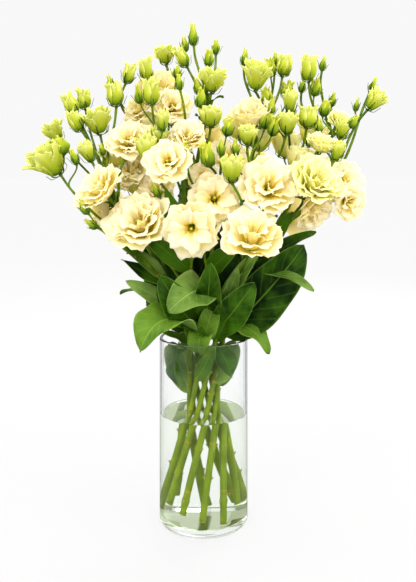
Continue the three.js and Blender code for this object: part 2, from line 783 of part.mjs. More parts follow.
const flowerSolid = (flower, grow) => (flower.kind === 'bloom' ? bloomSolid : openingSolid)(flower, grow);

const routes = makeRoutes();
settle(routes);

const group = new THREE.Group();

function addPiece(name, solid, colour) {
  const mesh = new THREE.Mesh(geometryOf(solid), new THREE.MeshStandardMaterial(COLOURS[colour]));
  mesh.name = name;
  group.add(mesh);
}

const vase = vaseSolid();
const vaseCutter = vaseSolid(GAP);
const frames = STEMS.map((stem) => stemFrame(routes, stem, 0));
const frameCutters = STEMS.map((stem) => stemFrame(routes, stem, GAP));

// Flowers give way to the stalks, and to the flowers before them
const isLoose = ({ kind }) => kind === 'bloom' || kind === 'opening';
const flowers = routes.map((route) => route.flower).filter(isLoose);
const flowerSolids = [];
const flowerCutters = [];
flowers.forEach((flower) => {
  const cutters = [...frameCutters, ...flowerCutters];
  flowerSolids.push(largestBody(cutClear(flowerSolid(flower), cutters)));
  flowerCutters.push(flowerSolid(flower, GAP));
});

// Leaves give way to everything that stands before them
const leafCutters = [];
const greens = STEMS.map((stem, index) => {
  const main = routes.find((route) => route.stem === stem);
  const others = frameCutters.filter((_, i) => i !== index);
  const cutters = [vaseCutter, ...others, ...flowerCutters, ...leafCutters];
  const leaves = stem.leaves.map((spec, i) => cutClear(leafSolid(main.points, spec, i, 0), cutters));
  stem.leaves.forEach((spec, i) => leafCutters.push(leafSolid(main.points, spec, i, GAP)));
  return largestBody(joined([frames[index], ...leaves]));
});

addPiece('glass_vase', vase, 'glass');
addPiece('water', largestBody(cutClear(waterSolid(), frameCutters)), 'water');
greens.forEach((solid, i) => addPiece(`stem_${STEMS[i].name}`, solid, 'green'));
const counts = { bloom: 0, bud: 0 };
flowers.forEach(({ kind }, i) => {
  const name = kind === 'bloom' ? 'bloom' : 'bud';
  counts[name] += 1;
  const number = String(counts[name]).padStart(2, '0');
  addPiece(`${name}_${number}`, flowerSolids[i], name === 'bloom' ? 'cream' : 'lime');
});

export default group;
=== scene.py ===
import math
from functools import cache, partial

import bmesh
import bpy
import numpy as np
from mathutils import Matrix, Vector


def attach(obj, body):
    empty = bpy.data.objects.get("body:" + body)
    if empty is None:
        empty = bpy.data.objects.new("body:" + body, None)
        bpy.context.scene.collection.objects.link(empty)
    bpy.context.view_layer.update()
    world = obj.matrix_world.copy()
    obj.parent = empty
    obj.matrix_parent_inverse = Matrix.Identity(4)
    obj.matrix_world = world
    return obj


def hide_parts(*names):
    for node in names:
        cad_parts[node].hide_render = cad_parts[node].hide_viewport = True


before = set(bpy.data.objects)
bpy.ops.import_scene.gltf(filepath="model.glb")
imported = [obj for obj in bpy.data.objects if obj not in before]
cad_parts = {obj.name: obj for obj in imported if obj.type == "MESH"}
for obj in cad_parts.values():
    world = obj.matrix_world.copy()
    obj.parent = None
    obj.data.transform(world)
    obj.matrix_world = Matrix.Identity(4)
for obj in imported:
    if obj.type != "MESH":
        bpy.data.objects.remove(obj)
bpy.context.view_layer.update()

# ------------------------------------------------------------
# Glass vase: a blown and cut cylinder of clear glass, 100 mm across and 208 mm high, with a thick flat base,
# a rounded foot and a fire-polished rim. It is turned round its axis here from its section.

VASE = {"radius": 50.0, "height": 208.0, "wall": 3.5, "base": 8.0, "foot": 5.0}
LATHE_STEPS = 96
METRES = 0.001

# How much glass and water shine at a low angle, how many of their faces light meets before they let it out,
# and its tint then
CLEAR = {"shine": (0.35, 0.35, 0.35), "faces": 7.5, "murk": (0.86, 0.89, 0.78)}


class Shade:
    """A socket of a finish, so that its sums read as plain sums."""

    def __init__(self, tree, socket=None):
        self.tree = tree
        self.socket = socket

    def node(self, kind, sockets=None, settings=None, out=0):
        made = self.tree.nodes.new("ShaderNode" + kind)
        for key, value in (settings or {}).items():
            if key == "stops":
                ramp = made.color_ramp
                while len(ramp.elements) < len(value):
                    ramp.elements.new(1.0)
                for element, (place, *colour) in zip(ramp.elements, value):
                    element.position = place
                    element.color = (*colour, 1)
            else:
                setattr(made, key, value)
        for key, value in (sockets or {}).items():
            if isinstance(value, Shade):
                self.tree.links.new(value.socket, made.inputs[key])
            else:
                made.inputs[key].default_value = (*value, 1) if isinstance(value, tuple) else value
        return Shade(self.tree, made.outputs[out] if made.outputs else None)

    def math(self, operation, *others):
        return self.node("Math", dict(enumerate((self, *others))), {"operation": operation})

    def __add__(self, other):
        return self.math("ADD", other)

    def __sub__(self, other):
        return self.math("SUBTRACT", other)

    def __rsub__(self, other):
        return self.node("Math", {0: other, 1: self}, {"operation": "SUBTRACT"})

    def __mul__(self, other):
        return self.math("MULTIPLY", other)

    def between(self, low, high):
        """0 up to low and 1 from high on, smooth between them."""
        return self.node("MapRange", {0: self, 1: low, 2: high}, {"interpolation_type": "SMOOTHSTEP"})

    def mix(self, share, one, other):
        return self.node("Mix", {0: share, 6: one, 7: other}, {"data_type": "RGBA"}, 2)

    def part(self, axis):
        return self.node("SeparateXYZ", {0: self}, out=axis)


def finished(name, skin, *values):
    """A finish, from the function that makes its surface."""
    made = bpy.data.materials.new(name)
    made.use_nodes = True
    made.node_tree.nodes.clear()
    s = Shade(made.node_tree)
    s.node("OutputMaterial", {"Surface": skin(s, *values)})
    return made


def arc(centre_r, centre_z, radius, start, end, steps):
    """Points of an arc in a section, as radius and height, from one angle to another in degrees."""
    turns = np.radians(np.linspace(start, end, steps + 1))
    return [(centre_r + radius * math.cos(a), centre_z + radius * math.sin(a)) for a in turns]


def braced(section, reach=0.7):
    """The section with a point near each end of its long runs, so that corners don't bend their shading."""
    made = [section[0]]
    for start, end in zip(section, section[1:]):
        long = math.dist(start, end)
        if long > 4 * reach:
            for share in (reach / long, 1 - reach / long):
                made.append(tuple(a + (b - a) * share for a, b in zip(start, end)))
        made.append(end)
    return made


def turned(section):
    """A closed shell spun round the vertical axis from a section that starts and ends on it."""
    whole = bmesh.new()
    ring = [whole.verts.new((r * METRES, 0, z * METRES)) for r, z in braced(section)]
    edges = [whole.edges.new(pair) for pair in zip(ring, ring[1:])]
    bmesh.ops.spin(
        whole, geom=ring + edges, cent=(0, 0, 0), axis=(0, 0, 1), angle=2 * math.pi,
        steps=LATHE_STEPS, use_merge=True, use_duplicate=False,
    )
    bmesh.ops.remove_doubles(whole, verts=whole.verts[:], dist=1e-6)
    bmesh.ops.recalc_face_normals(whole, faces=whole.faces[:])
    return whole


def placed(whole, name, finishes, node, thick=0.0, inside=0):
    """The piece, riding on the one body and standing for its CAD node. Sheets get their thickness in mm."""
    mesh = bpy.data.meshes.new(name)
    whole.to_mesh(mesh)
    whole.free()
    mesh.shade_smooth()
    for finish in finishes:
        mesh.materials.append(finish)
    made = bpy.data.objects.new(name, mesh)
    bpy.context.scene.collection.objects.link(made)
    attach(made, "root")
    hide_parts(node)
    if thick:
        solid = made.modifiers.new("thickness", "SOLIDIFY")
        solid.thickness = thick * METRES
        solid.offset = -1.0
        solid.material_offset = solid.material_offset_rim = inside


def clear_skin(s, ior, tint):
    """A clear body that lets the lamps' light through, and lets out light that has met many faces."""
    body = s.node("BsdfPrincipled", {"Base Color": tint, "Roughness": 0.0, "IOR": ior,
                                     "Transmission Weight": 1.0, "Specular Tint": CLEAR["shine"]})
    through = s.node("BsdfTransparent", {"Color": tint})
    lamp = s.node("LightPath", out="Is Shadow Ray")
    lost = s.node("LightPath", out="Ray Depth").math("GREATER_THAN", CLEAR["faces"])
    murky = s.node("BsdfTransparent", {"Color": CLEAR["murk"]})
    lit = s.node("MixShader", {0: lamp, 1: body, 2: through})
    return s.node("MixShader", {0: lost, 1: lit, 2: murky})


half_wall = VASE["wall"] / 2
inner = VASE["radius"] - VASE["wall"]
vase_section = (
    [(0.0, 0.0), (VASE["radius"] - VASE["foot"], 0.0)]
    + arc(VASE["radius"] - VASE["foot"], VASE["foot"], VASE["foot"], -90, 0, 6)[1:]
    + arc(VASE["radius"] - half_wall, VASE["height"] - half_wall, half_wall, 0, 180, 8)
    + arc(inner - VASE["wall"], VASE["base"] + VASE["wall"], VASE["wall"], 0, -90, 6)
    + [(0.0, VASE["base"])]
)
clear_glass = finished("clear_glass", clear_skin, 1.47, (0.985, 0.995, 0.99))
placed(turned(vase_section), "vase_glass", [clear_glass], "glass_vase")

# ------------------------------------------------------------
# Water: clear and faintly green, filled to 122 mm, with a small meniscus up the glass. Its side lies just
# inside the wall, so that no film of air shows between them.

# The meniscus: how far in from the wall's inner face, and how far above the level, each of its points lies
WATER = {"level": 122.0, "into_wall": 0.15, "meniscus": [(-0.15, 1.4), (0.9, 0.4), (3.0, 0.0)]}

water_section = (
    [(0.0, VASE["base"] - WATER["into_wall"])]
    + arc(inner - VASE["wall"], VASE["base"] + VASE["wall"], VASE["wall"] + WATER["into_wall"], -90, 0, 6)
    + [(inner - by, WATER["level"] + up) for by, up in WATER["meniscus"]]
    + [(0.0, WATER["level"])]
)
clear_water = finished("clear_water", clear_skin, 1.333, (0.965, 0.99, 0.945))
placed(turned(water_section), "vase_water", [clear_water], "water")

# ------------------------------------------------------------
# Stems: ten cut lisianthus stems, hand tied in a spiral, each a jointed green tube that forks into thin
# flower stalks and twigs. Where a pair of leaves was stripped, the joint keeps an orange-brown scar.

# Places line up as they are seen from the eye, on the plane through the vase's axis: x to the right and z up,
# with y as the depth behind that plane
EYE = np.array([5.0, -825.0, 397.0])
STEM = {"radius": 2.8, "filled": 1.26, "foot": 9.8, "shin": 75, "waist": 140.0, "waist_radius": 16.0,
        "slope": 0.25, "taper": 0.6}
STALK = {"radius": 1.7, "taper": 0.8, "points": 7, "fork_rise": 25.0, "fork_lean": 1.1}

# Bends between two ends: how far each end's direction holds, as a share of the way, and at most at a flower
BEND = {"share": 0.36, "most": 42}

# Stalks keep this clear of each other and of the flowers. A flower counts as two balls on its axis: how far
# along its depth each sits, and its radius as a share of the flower's width.
SETTLE = {"rounds": 120, "clear": 1.6, "near": 100, "step": 0.5, "most": 2.0, "share": 0.12}
BALLS = [(0.7, 0.47), (0.3, 0.28)]


def unit(vector):
    vector = np.array(vector, float)
    return vector / np.linalg.norm(vector)


def place(x, z, y):
    scale = (y - EYE[1]) / -EYE[1]
    return np.array([EYE[0] + (x - EYE[0]) * scale, y, EYE[2] + (z - EYE[2]) * scale])


def bloom(x, z, y, facing, across):
    face = unit(facing)
    deep = across * 0.56
    seat = place(x, z, y) - face * deep
    return {"kind": "bloom", "seat": seat, "face": face, "across": across, "deep": deep}


def bud(kind, x, z, y, lean, across, deep):
    turn = math.radians(lean)
    face = unit([math.sin(turn), -0.12, math.cos(turn)])
    seat = place(x, z, y) - face * deep / 2
    return {"kind": kind, "seat": seat, "face": face, "across": across, "deep": deep}


def tight(x, z, y, lean, across=8, deep=18):
    return bud("tight", x, z, y, lean, across, deep)


opening, furled = partial(bud, "opening"), partial(bud, "furled")
ruffled, half_open = partial(bud, "ruffled"), partial(bud, "half_open")


def leaf(height, tip, width, bow, face):
    return {"height": height, "tip": place(*tip), "width": width, "bow": bow, "face": face}


# Each stem: its turn round the vase, its flowers and its leaves. A flower has its place, its facing or lean,
# its width and its depth. A leaf has its height on the stem, its tip, its width, its bow and its facing.
STEMS = {
    "front": (-90, [
        bloom(12, 369, -66, [0, -0.95, 0.25], 60), bloom(-17, 327, -94, [-0.1, -0.97, -0.1], 64),
        tight(-20, 422, -58, -3), tight(20, 425, -54, 2), furled(4, 416, -50, -10, 15, 26),
    ], [
        leaf(214, [-6, 184, -40], 26, 16, [0, -0.4, 1]), leaf(265, [-42, 237, -66], 44, 13, [0, -0.9, 0.6]),
        leaf(208, [14, 254, -38], 22, 4, [0, -1, 0.2]), leaf(285, [40, 312, -54], 22, 6, [0, -1, 0.4]),
        leaf(205, [-24, 230, -34], 20, 4, [0, -1, 0.3]), leaf(234, [8, 290, -66], 28, 6, [0, -1, 0.3]),
    ]),
    "front_right": (-54, [
        bloom(76, 389, -76, [0.05, -0.85, 0.45], 68), bloom(58, 331, -108, [0.05, -0.8, 0.55], 78),
        ruffled(32, 401, -68, 0, 22, 32), tight(36, 425, -44, 0), ruffled(51, 439, -40, 5, 20, 24),
    ], [
        leaf(212, [40, 284, -58], 20, -6, [0.2, -1, 0]), leaf(240, [64, 308, -40], 20, 12, [-0.3, -1, 0.4]),
        leaf(204, [34, 160, -24], 22, 4, [0.6, -1, 0]), leaf(206, [36, 248, -36], 20, 4, [0, -1, 0.2]),
        leaf(220, [58, 268, -58], 34, 8, [0.2, -0.9, 0.4]),
    ]),
    "right": (-18, [
        bloom(137, 398, -69, [0.35, -0.7, 0.6], 65), bloom(138, 346, -52, [0.55, -0.55, -0.5], 54),
        ruffled(154, 421, -34, 20, 14, 24),
    ], [
        leaf(210, [118, 312, -24], 56, 10, [0.2, -1, 0.1]), leaf(284, [127, 262, -48], 20, 6, [0, -0.5, 1]),
        leaf(222, [78, 188, -30], 28, 14, [0.3, -0.7, 1]), leaf(300, [102, 350, -34], 20, 4, [0, -1, 0.3]),
        leaf(228, [84, 258, 4], 32, 8, [0.3, -0.4, 0.9]),
    ]),
    "far_right": (18, [
        bloom(174, 392, -14, [0.75, -0.4, 0.45], 46), bloom(178, 361, -38, [0.85, -0.5, -0.1], 34),
        bloom(139, 437, -24, [0.3, -0.3, 0.9], 42), opening(197, 478, 8, 40, 24, 28),
        tight(194, 496, 34, 23), ruffled(159, 447, 6, 12, 17, 26),
    ], [
        leaf(262, [128, 330, 12], 26, 8, [0, -0.6, 1]), leaf(222, [104, 264, 30], 38, 8, [0.3, -0.6, 0.8]),
    ]),
    "back_right": (54, [
        bloom(158, 463, 50, [0.3, -0.3, 0.8], 34), bloom(113, 351, 75, [0.7, 0.65, 0.2], 60),
        opening(120, 514, 24, 0, 17, 30), opening(119, 459, 4, 5, 20, 26), ruffled(99, 478, 10, 5, 17, 28),
        tight(114, 496, 44, 15), tight(137, 521, 52, 10), tight(148, 480, 66, 12),
    ], [
        leaf(240, [104, 296, 66], 36, 10, [0.3, 0.5, 1]), leaf(290, [58, 352, 56], 26, 4, [0.4, 0.5, 1]),
        leaf(225, [62, 240, 62], 32, 10, [0.4, 0.6, 1]),
    ]),
    "back": (90, [
        bloom(51, 475, 16, [-0.35, -0.1, 0.93], 46), bloom(28, 422, -4, [0.1, -0.75, 0.65], 50),
        bloom(62, 402, 104, [0.3, 0.85, 0.4], 62), opening(61, 506, 24, 8, 31, 36),
        opening(92, 518, 44, 8, 17, 27), tight(47, 528, 52, 8, 9, 21), tight(82, 526, 66, 3),
        ruffled(96, 453, -14, 5, 22, 28),
    ], [
        leaf(240, [20, 300, 78], 36, 10, [0, 0.6, 1]), leaf(280, [64, 330, 92], 28, 8, [0, 0.6, 1]),
        leaf(222, [-14, 244, 72], 30, 10, [0, 0.6, 1]),
    ]),
    "tall": (126, [
        opening(10, 501, 2, 8, 29, 31), bloom(-1, 396, -26, [0, -0.8, 0.5], 40),
        bloom(-4, 352, 110, [0, 0.95, 0.2], 64), bloom(2, 448, 72, [0, 0.5, 0.85], 48),
        opening(-25, 527, 22, -28, 14, 24), tight(-12, 554, 14, -3, 10, 26), tight(14, 541, 32, 0, 9, 20),
        furled(6, 527, 6, 0, 10, 20), ruffled(8, 460, -16, 0, 26, 26),
    ], [
        leaf(246, [-40, 306, 74], 36, 10, [0, 0.6, 1]), leaf(290, [-14, 420, 60], 26, 5, [0, 1, 0.3]),
        leaf(226, [-66, 250, 58], 32, 10, [-0.3, 0.6, 1]),
    ]),
    "back_left": (162, [
        bloom(-48, 504, 34, [0, -0.3, 0.9], 42), bloom(-36, 478, -10, [0.1, -0.8, 0.5], 42),
        bloom(-81, 472, 18, [-0.5, -0.5, 0.4], 36), bloom(-62, 412, 100, [-0.3, 0.85, 0.5], 62),
        bloom(-116, 352, 72, [-0.7, 0.6, 0.2], 58), opening(-44, 530, 44, -5, 24, 24),
        opening(-66, 512, 26, -8, 15, 27), opening(-85, 509, 14, 19, 13, 24),
        opening(-60, 488, -20, -3, 18, 30), tight(-107, 500, 44, -20),
    ], [
        leaf(250, [-86, 308, 66], 34, 10, [-0.2, 0.6, 1]), leaf(292, [-40, 366, 74], 26, 6, [0, 0.8, 0.6]),
        leaf(232, [-96, 262, 34], 34, 10, [-0.4, 0.4, 1]),
        leaf(214, [-58, 290, 22], 36, 6, [-0.3, -0.8, 0.4]),
    ]),
    "far_left": (198, [
        bloom(-132, 386, -50, [-0.6, -0.5, 0.6], 58), bloom(-130, 353, -8, [-0.85, -0.2, -0.1], 47),
        bloom(-89, 404, -4, [-0.3, -0.6, 0.5], 50), bloom(-90, 442, -18, [-0.2, -0.6, 0.6], 48),
        opening(-178, 409, -12, -40, 40, 42), opening(-171, 442, 24, -30, 22, 27),
        opening(-147, 454, 6, -34, 15, 26), opening(-152, 474, 34, -28, 16, 26),
        opening(-137, 480, 56, -8, 16, 26), opening(-122, 455, 12, -12, 34, 34),
        opening(-101, 485, 4, -5, 18, 28), ruffled(-134, 420, -14, -25, 16, 26),
        tight(-130, 337, -40, -60, 9, 16),
    ], [
        leaf(275, [-101, 318, -32], 16, 5, [0, -0.8, 0.6]),
        leaf(268, [-92, 296, -48], 14, -3, [0, -0.8, 0.6]), leaf(240, [-89, 272, -14], 20, 3, [0, -1, 0.5]),
        leaf(216, [-66, 250, -4], 32, 8, [-0.4, -0.4, 0.9]),
    ]),
    "front_left": (234, [
        bloom(-19, 444, -38, [0, -0.8, 0.6], 44), bloom(-45, 413, -72, [-0.2, -0.85, 0.4], 46),
        bloom(-82, 349, -72, [-0.25, -0.75, 0.55], 74), bloom(-58, 380, -24, [-0.2, -0.8, 0.4], 44),
        ruffled(-65, 424, -42, -8, 22, 34), tight(-28, 500, -26, -5),
    ], [
        leaf(218, [-80, 193, -62], 60, 24, [-0.5, -0.6, 0.8]),
        leaf(285, [-72, 328, -46], 22, 4, [0, -1, 0.3]), leaf(205, [-28, 146, -28], 26, 12, [-1, -0.4, 0]),
        leaf(300, [-44, 376, -46], 22, 4, [0, -1, 0.2]), leaf(206, [-48, 217, -34], 14, -3, [0, -0.6, 1]),
        leaf(228, [-50, 276, -58], 34, 8, [-0.2, -0.9, 0.4]),
    ]),
}

# Small buds and half-open flowers on thin twigs of their own, too fine for the solid stems
SMALL_BUDS = {
    "front": [tight(28, 448, -30, 10, 12, 20), tight(-55, 377, -46, -25, 8, 18)],
    "front_right": [furled(71, 456, -4, 8, 13, 20), furled(81, 449, -16, 15, 12, 22)],
    "right": [tight(132, 450, 0, 12, 10, 16), tight(172, 455, 2, 30, 10, 18),
              half_open(110, 411, 6, 15, 34, 32)],
    "far_right": [tight(175, 474, 12, 10, 6, 15), furled(139, 470, 18, 16, 12, 20)],
    "back_right": [furled(128, 494, 36, 8, 13, 22), tight(100, 466, 30, 10, 11, 20),
                   half_open(94, 428, 44, 5, 36, 34), half_open(124, 440, 46, 14, 34, 32)],
    "back": [furled(76, 517, 50, -4, 14, 24), furled(96, 491, 44, 4, 15, 24), tight(78, 472, 6, 12, 10, 22),
             furled(72, 483, 20, -6, 14, 22), half_open(64, 436, 34, 0, 36, 34),
             half_open(40, 448, 44, -4, 34, 32)],
    "tall": [tight(-22, 543, 28, -6, 9, 18), tight(-3, 482, -14, 6, 12, 24),
             tight(-7, 495, 0, -12, 10, 20)],
    "back_left": [half_open(-61, 450, 30, -10, 40, 34), half_open(-34, 462, 44, -4, 36, 32),
                  tight(-75, 486, 0, -12, 10, 22), ruffled(-52, 437, -28, 6, 22, 24),
                  tight(-30, 512, 8, 8, 10, 16)],
    "far_left": [half_open(-98, 418, 16, -20, 40, 34), furled(-167, 425, -4, -30, 24, 24),
                 tight(-149, 415, -24, -20, 9, 20), tight(-117, 423, -10, -15, 7, 14),
                 tight(-138, 358, -52, -30, 10, 20)],
    "front_left": [half_open(-78, 386, 10, -14, 36, 32), ruffled(-46, 456, -44, 4, 13, 24)],
}
HEADS = {name: flowers + SMALL_BUDS.get(name, []) for name, (_, flowers, _) in STEMS.items()}
TWIG = {"radius": 1.1, "rise": 16.0, "lean": 0.8}


def spiral_point(angle, height):
    along = (height - STEM["waist"]) * STEM["slope"]
    reach = STEM["waist_radius"]
    return np.array([reach * math.cos(angle) - along * math.sin(angle),
                     reach * math.sin(angle) + along * math.cos(angle), height])


def curve_points(start, out, end, arrive, count):
    reach = np.linalg.norm(end - start)
    first = start + out * reach * BEND["share"]
    last = end - arrive * min(reach * BEND["share"], BEND["most"])
    t = np.linspace(0, 1, count + 1)[:, None]
    return (1 - t) ** 3 * start + 3 * (1 - t) ** 2 * t * first + 3 * (1 - t) * t ** 2 * last + t ** 3 * end


def main_route(name, turn, flower):
    swing = math.atan((VASE["height"] - STEM["waist"]) * STEM["slope"] / STEM["waist_radius"])
    angle = math.radians(turn) - swing
    heights = (STEM["foot"], STEM["shin"], STEM["waist"], VASE["height"])
    low = [spiral_point(angle, height) for height in heights]
    high = curve_points(low[3], unit(low[3] - low[2]), flower["seat"], flower["face"], 9)
    points = np.array([*low, *high[1:]])
    return {"stem": name, "flower": flower, "radius": STEM["radius"], "points": points, "held": 4}


def fork_index(points, seat):
    index = 4
    for i in range(5, len(points) - 1):
        level = math.hypot(points[i][0] - seat[0], points[i][1] - seat[1])
        if seat[2] - points[i][2] >= STALK["fork_rise"] + STALK["fork_lean"] * level:
            index = i
    return index


def side_route(name, main, flower):
    line = routes[main]["points"]
    fork = fork_index(line, flower["seat"])
    out = unit(line[fork] - line[fork - 1])
    points = curve_points(line[fork], out, flower["seat"], flower["face"], STALK["points"] - 1)
    return {"stem": name, "flower": flower, "radius": STALK["radius"], "points": points, "held": 1,
            "main": main, "fork": fork}


def nearest(a, b, c, d):
    """Nearest points of pairs of straight pieces, as their shares of each and the gap between them."""
    u, v, w = b - a, d - c, a - c
    uu, uv, vv = (u * u).sum(1), (u * v).sum(1), (v * v).sum(1)
    uw, vw = (u * w).sum(1), (v * w).sum(1)
    s = np.clip((uv * vw - vv * uw) / np.maximum(uu * vv - uv * uv, 1e-9), 0, 1)
    t = np.clip((uv * s + vw) / vv, 0, 1)
    s = np.clip((uv * t - uw) / uu, 0, 1)
    return s, t, a + u * s[:, None] - c - v * t[:, None]


def shift_by(between, need):
    gap = np.linalg.norm(between, axis=1)
    push = between * ((need - gap) / np.maximum(gap, 0.01) * SETTLE["step"])[:, None]
    return np.where((gap < need)[:, None], push, 0.0)


def ease(push, at, shift, share):
    """Shares a shift out between the two ends of straight pieces."""
    np.add.at(push, at, shift * (1 - share)[:, None])
    np.add.at(push, at + 1, shift * share[:, None])


def settle():
    """Stalks ease apart, round by round, until each has its room between the others and the flowers."""
    starts = np.cumsum([0] + [len(r["points"]) for r in routes])
    first = np.concatenate([r["points"] for r in routes])
    ends = np.concatenate([np.arange(a, b - 1) for a, b in zip(starts, starts[1:])])
    owner = np.concatenate([[i] * (len(r["points"]) - 1) for i, r in enumerate(routes)])
    radius = np.array([routes[i]["radius"] for i in owner])
    stem = np.array([list(STEMS).index(routes[i]["stem"]) for i in owner])
    m, n = np.triu_indices(len(ends), 1)
    apart = stem[m] != stem[n]
    m, n = m[apart], n[apart]
    keys = ("seat", "face", "deep", "across")
    seats, faces, deep, across = (np.array([r["flower"][key] for r in routes]) for key in keys)
    centres = np.concatenate([seats + faces * deep[:, None] * at for at, _ in BALLS])
    room = np.concatenate([across * share for _, share in BALLS])
    ball_owner = np.tile(np.arange(len(routes)), len(BALLS))
    k, q = np.nonzero(owner[:, None] != ball_owner[None, :])
    moved = np.zeros_like(first)
    points = first.copy()
    for _ in range(SETTLE["rounds"]):
        push = np.zeros_like(first)
        middle = points[ends] + points[ends + 1]
        close = (np.abs(middle[m] - middle[n])[:, [0, 2]] <= SETTLE["near"]).all(1)
        mm, nn = m[close], n[close]
        one, other = ends[mm], ends[nn]
        s, t, between = nearest(points[one], points[one + 1], points[other], points[other + 1])
        shift = shift_by(between, radius[mm] + radius[nn] + SETTLE["clear"])
        ease(push, one, shift, s)
        ease(push, other, -shift, t)
        a = points[ends[k]]
        along = points[ends[k] + 1] - a
        s = np.clip(((centres[q] - a) * along).sum(1) / (along * along).sum(1), 0, 1)
        between = a + along * s[:, None] - centres[q]
        ease(push, ends[k], shift_by(between, room[q] + radius[k] + SETTLE["clear"]), s)
        length = np.linalg.norm(push, axis=1, keepdims=True)
        push *= np.minimum(1, SETTLE["most"] / np.maximum(length, 1e-9))
        for start, stop, route in zip(starts, starts[1:], routes):
            low, high = start + route["held"], stop - 1
            moved[low:high] += push[low:high]
            for i in range(low, high):
                around = (moved[i - 1] + moved[i + 1]) / 2
                moved[i] += (around - moved[i]) * SETTLE["share"]
            if "main" in route:
                moved[start] = moved[starts[route["main"]] + route["fork"]]
            points[start:stop] = first[start:stop] + moved[start:stop]
    for start, stop, route in zip(starts, starts[1:], routes):
        route["points"] = points[start:stop]


routes = []
for name, (turn, flowers, _) in STEMS.items():
    main = len(routes)
    routes.append(main_route(name, turn, flowers[0]))
    for flower in flowers[1:]:
        routes.append(side_route(name, main, flower))
settle()


def smooth_line(points, steps):
    """A smooth line through points, with an even number of steps in each stretch."""
    points = np.array([2 * points[0] - points[1], *points, 2 * points[-1] - points[-2]])
    line = []
    for p0, p1, p2, p3 in zip(points, points[1:], points[2:], points[3:]):
        d0, d1, d2 = (max(np.linalg.norm(b - a), 1e-4) ** 0.5 for a, b in ((p0, p1), (p1, p2), (p2, p3)))
        t1 = ((p1 - p0) / d0 - (p2 - p0) / (d0 + d1) + (p2 - p1) / d1) * d1
        t2 = ((p2 - p1) / d1 - (p3 - p1) / (d1 + d2) + (p3 - p2) / d2) * d1
        t = np.arange(steps)[:, None] / steps
        line.append(p1 + t1 * t + (3 * (p2 - p1) - 2 * t1 - t2) * t ** 2 + (2 * (p1 - p2) + t1 + t2) * t ** 3)
    return np.concatenate([*line, points[-2:-1]])


@cache
def grid(columns, rows):
    """A flat sheet from 0 to 1 both ways, with its own UV map."""
    flat = bmesh.new()
    flat.loops.layers.uv.new("UVMap")
    bmesh.ops.create_grid(flat, x_segments=columns, y_segments=rows, size=0.5, calc_uvs=True)
    bmesh.ops.translate(flat, verts=flat.verts[:], vec=(0.5, 0.5, 0))
    mesh = bpy.data.meshes.new("sheet")
    flat.to_mesh(mesh)
    flat.free()
    return mesh


def add_sheet(whole, columns, rows, formula, finish=0, along=1.0, shift=0.0):
    """Adds one sheet to a piece, each point moved to its place in mm by a formula of its u and v."""
    mesh = grid(columns, rows).copy()
    flat = np.empty(len(mesh.vertices) * 3, np.float32)
    mesh.vertices.foreach_get("co", flat)
    u, v = flat.reshape(-1, 3)[:, 0].astype(float), flat.reshape(-1, 3)[:, 1].astype(float)
    mesh.vertices.foreach_set("co", (formula(u, v) * METRES).astype(np.float32).ravel())
    mesh.polygons.foreach_set("material_index", np.full(len(mesh.polygons), finish, np.int32))
    if along != 1.0:
        marks = np.empty(len(mesh.loops) * 2, np.float32)
        mesh.uv_layers[0].data.foreach_get("uv", marks)
        marks[1::2] = marks[1::2] * along + shift
        mesh.uv_layers[0].data.foreach_set("uv", marks)
    whole.from_mesh(mesh)
    bpy.data.meshes.remove(mesh)


def add_tube(whole, line, radii, sides, *marking):
    """A round tube along a line, closed at both ends."""
    run = np.gradient(np.array(line), axis=0)
    run /= np.linalg.norm(run, axis=1, keepdims=True)
    run = np.array([run[0], *run, run[-1]])
    line = np.array([line[0], *line, line[-1]])
    radii = np.array([0.0, *radii, 0.0])
    sides_of = [np.cross(run[0], [0.3, 0.9, 0.1])]
    for direction in run:
        sides_of.append(unit(sides_of[-1] - direction * sides_of[-1].dot(direction)))
    sides_of = np.array(sides_of[1:])
    up_of = np.cross(run, sides_of)
    rows = len(line) - 1

    def formula(u, v):
        i = np.rint(v * rows).astype(int)
        angle = u * math.tau
        ring = sides_of[i] * np.cos(angle)[:, None] + up_of[i] * np.sin(angle)[:, None]
        return line[i] + ring * radii[i][:, None]

    add_sheet(whole, sides, rows, formula, *marking)


def sealed(whole):
    """Seams and poles joined."""
    bmesh.ops.remove_doubles(whole, verts=whole.verts[:], dist=2e-6)
    return whole


def twig(name, flower):
    """A thin twig to a small bud, from the nearest stalk of its stem that runs low enough beneath it."""
    lines = [smooth_line(route["points"], 6) for route in routes if route["stem"] == name]
    spots = np.concatenate([line[1:-1] for line in lines])
    runs = np.concatenate([line[2:] - line[:-2] for line in lines])
    away = flower["seat"] - spots
    high = away[:, 2] > TWIG["rise"] + TWIG["lean"] * np.hypot(away[:, 0], away[:, 1])
    at = int(np.argmin(np.linalg.norm(away, axis=1) + np.where(high, 0.0, 1000.0)))
    points = curve_points(spots[at], unit(runs[at]), flower["seat"], flower["face"], 6)
    return {"stem": name, "flower": flower, "radius": TWIG["radius"], "points": points}


# How far apart the joints are, how much and how far each way they swell, and how they shift from stem to stem
JOINT = {"step": 58.0, "swell": 0.2, "reach": 2.4, "shift": 0.37, "shift_most": 0.9}

# The swollen end of a stalk, by its radius and how far down it reaches, and the width of its sepals
CALYX = {"cup": 2.3, "reach": 2.2, "width": 2.6}


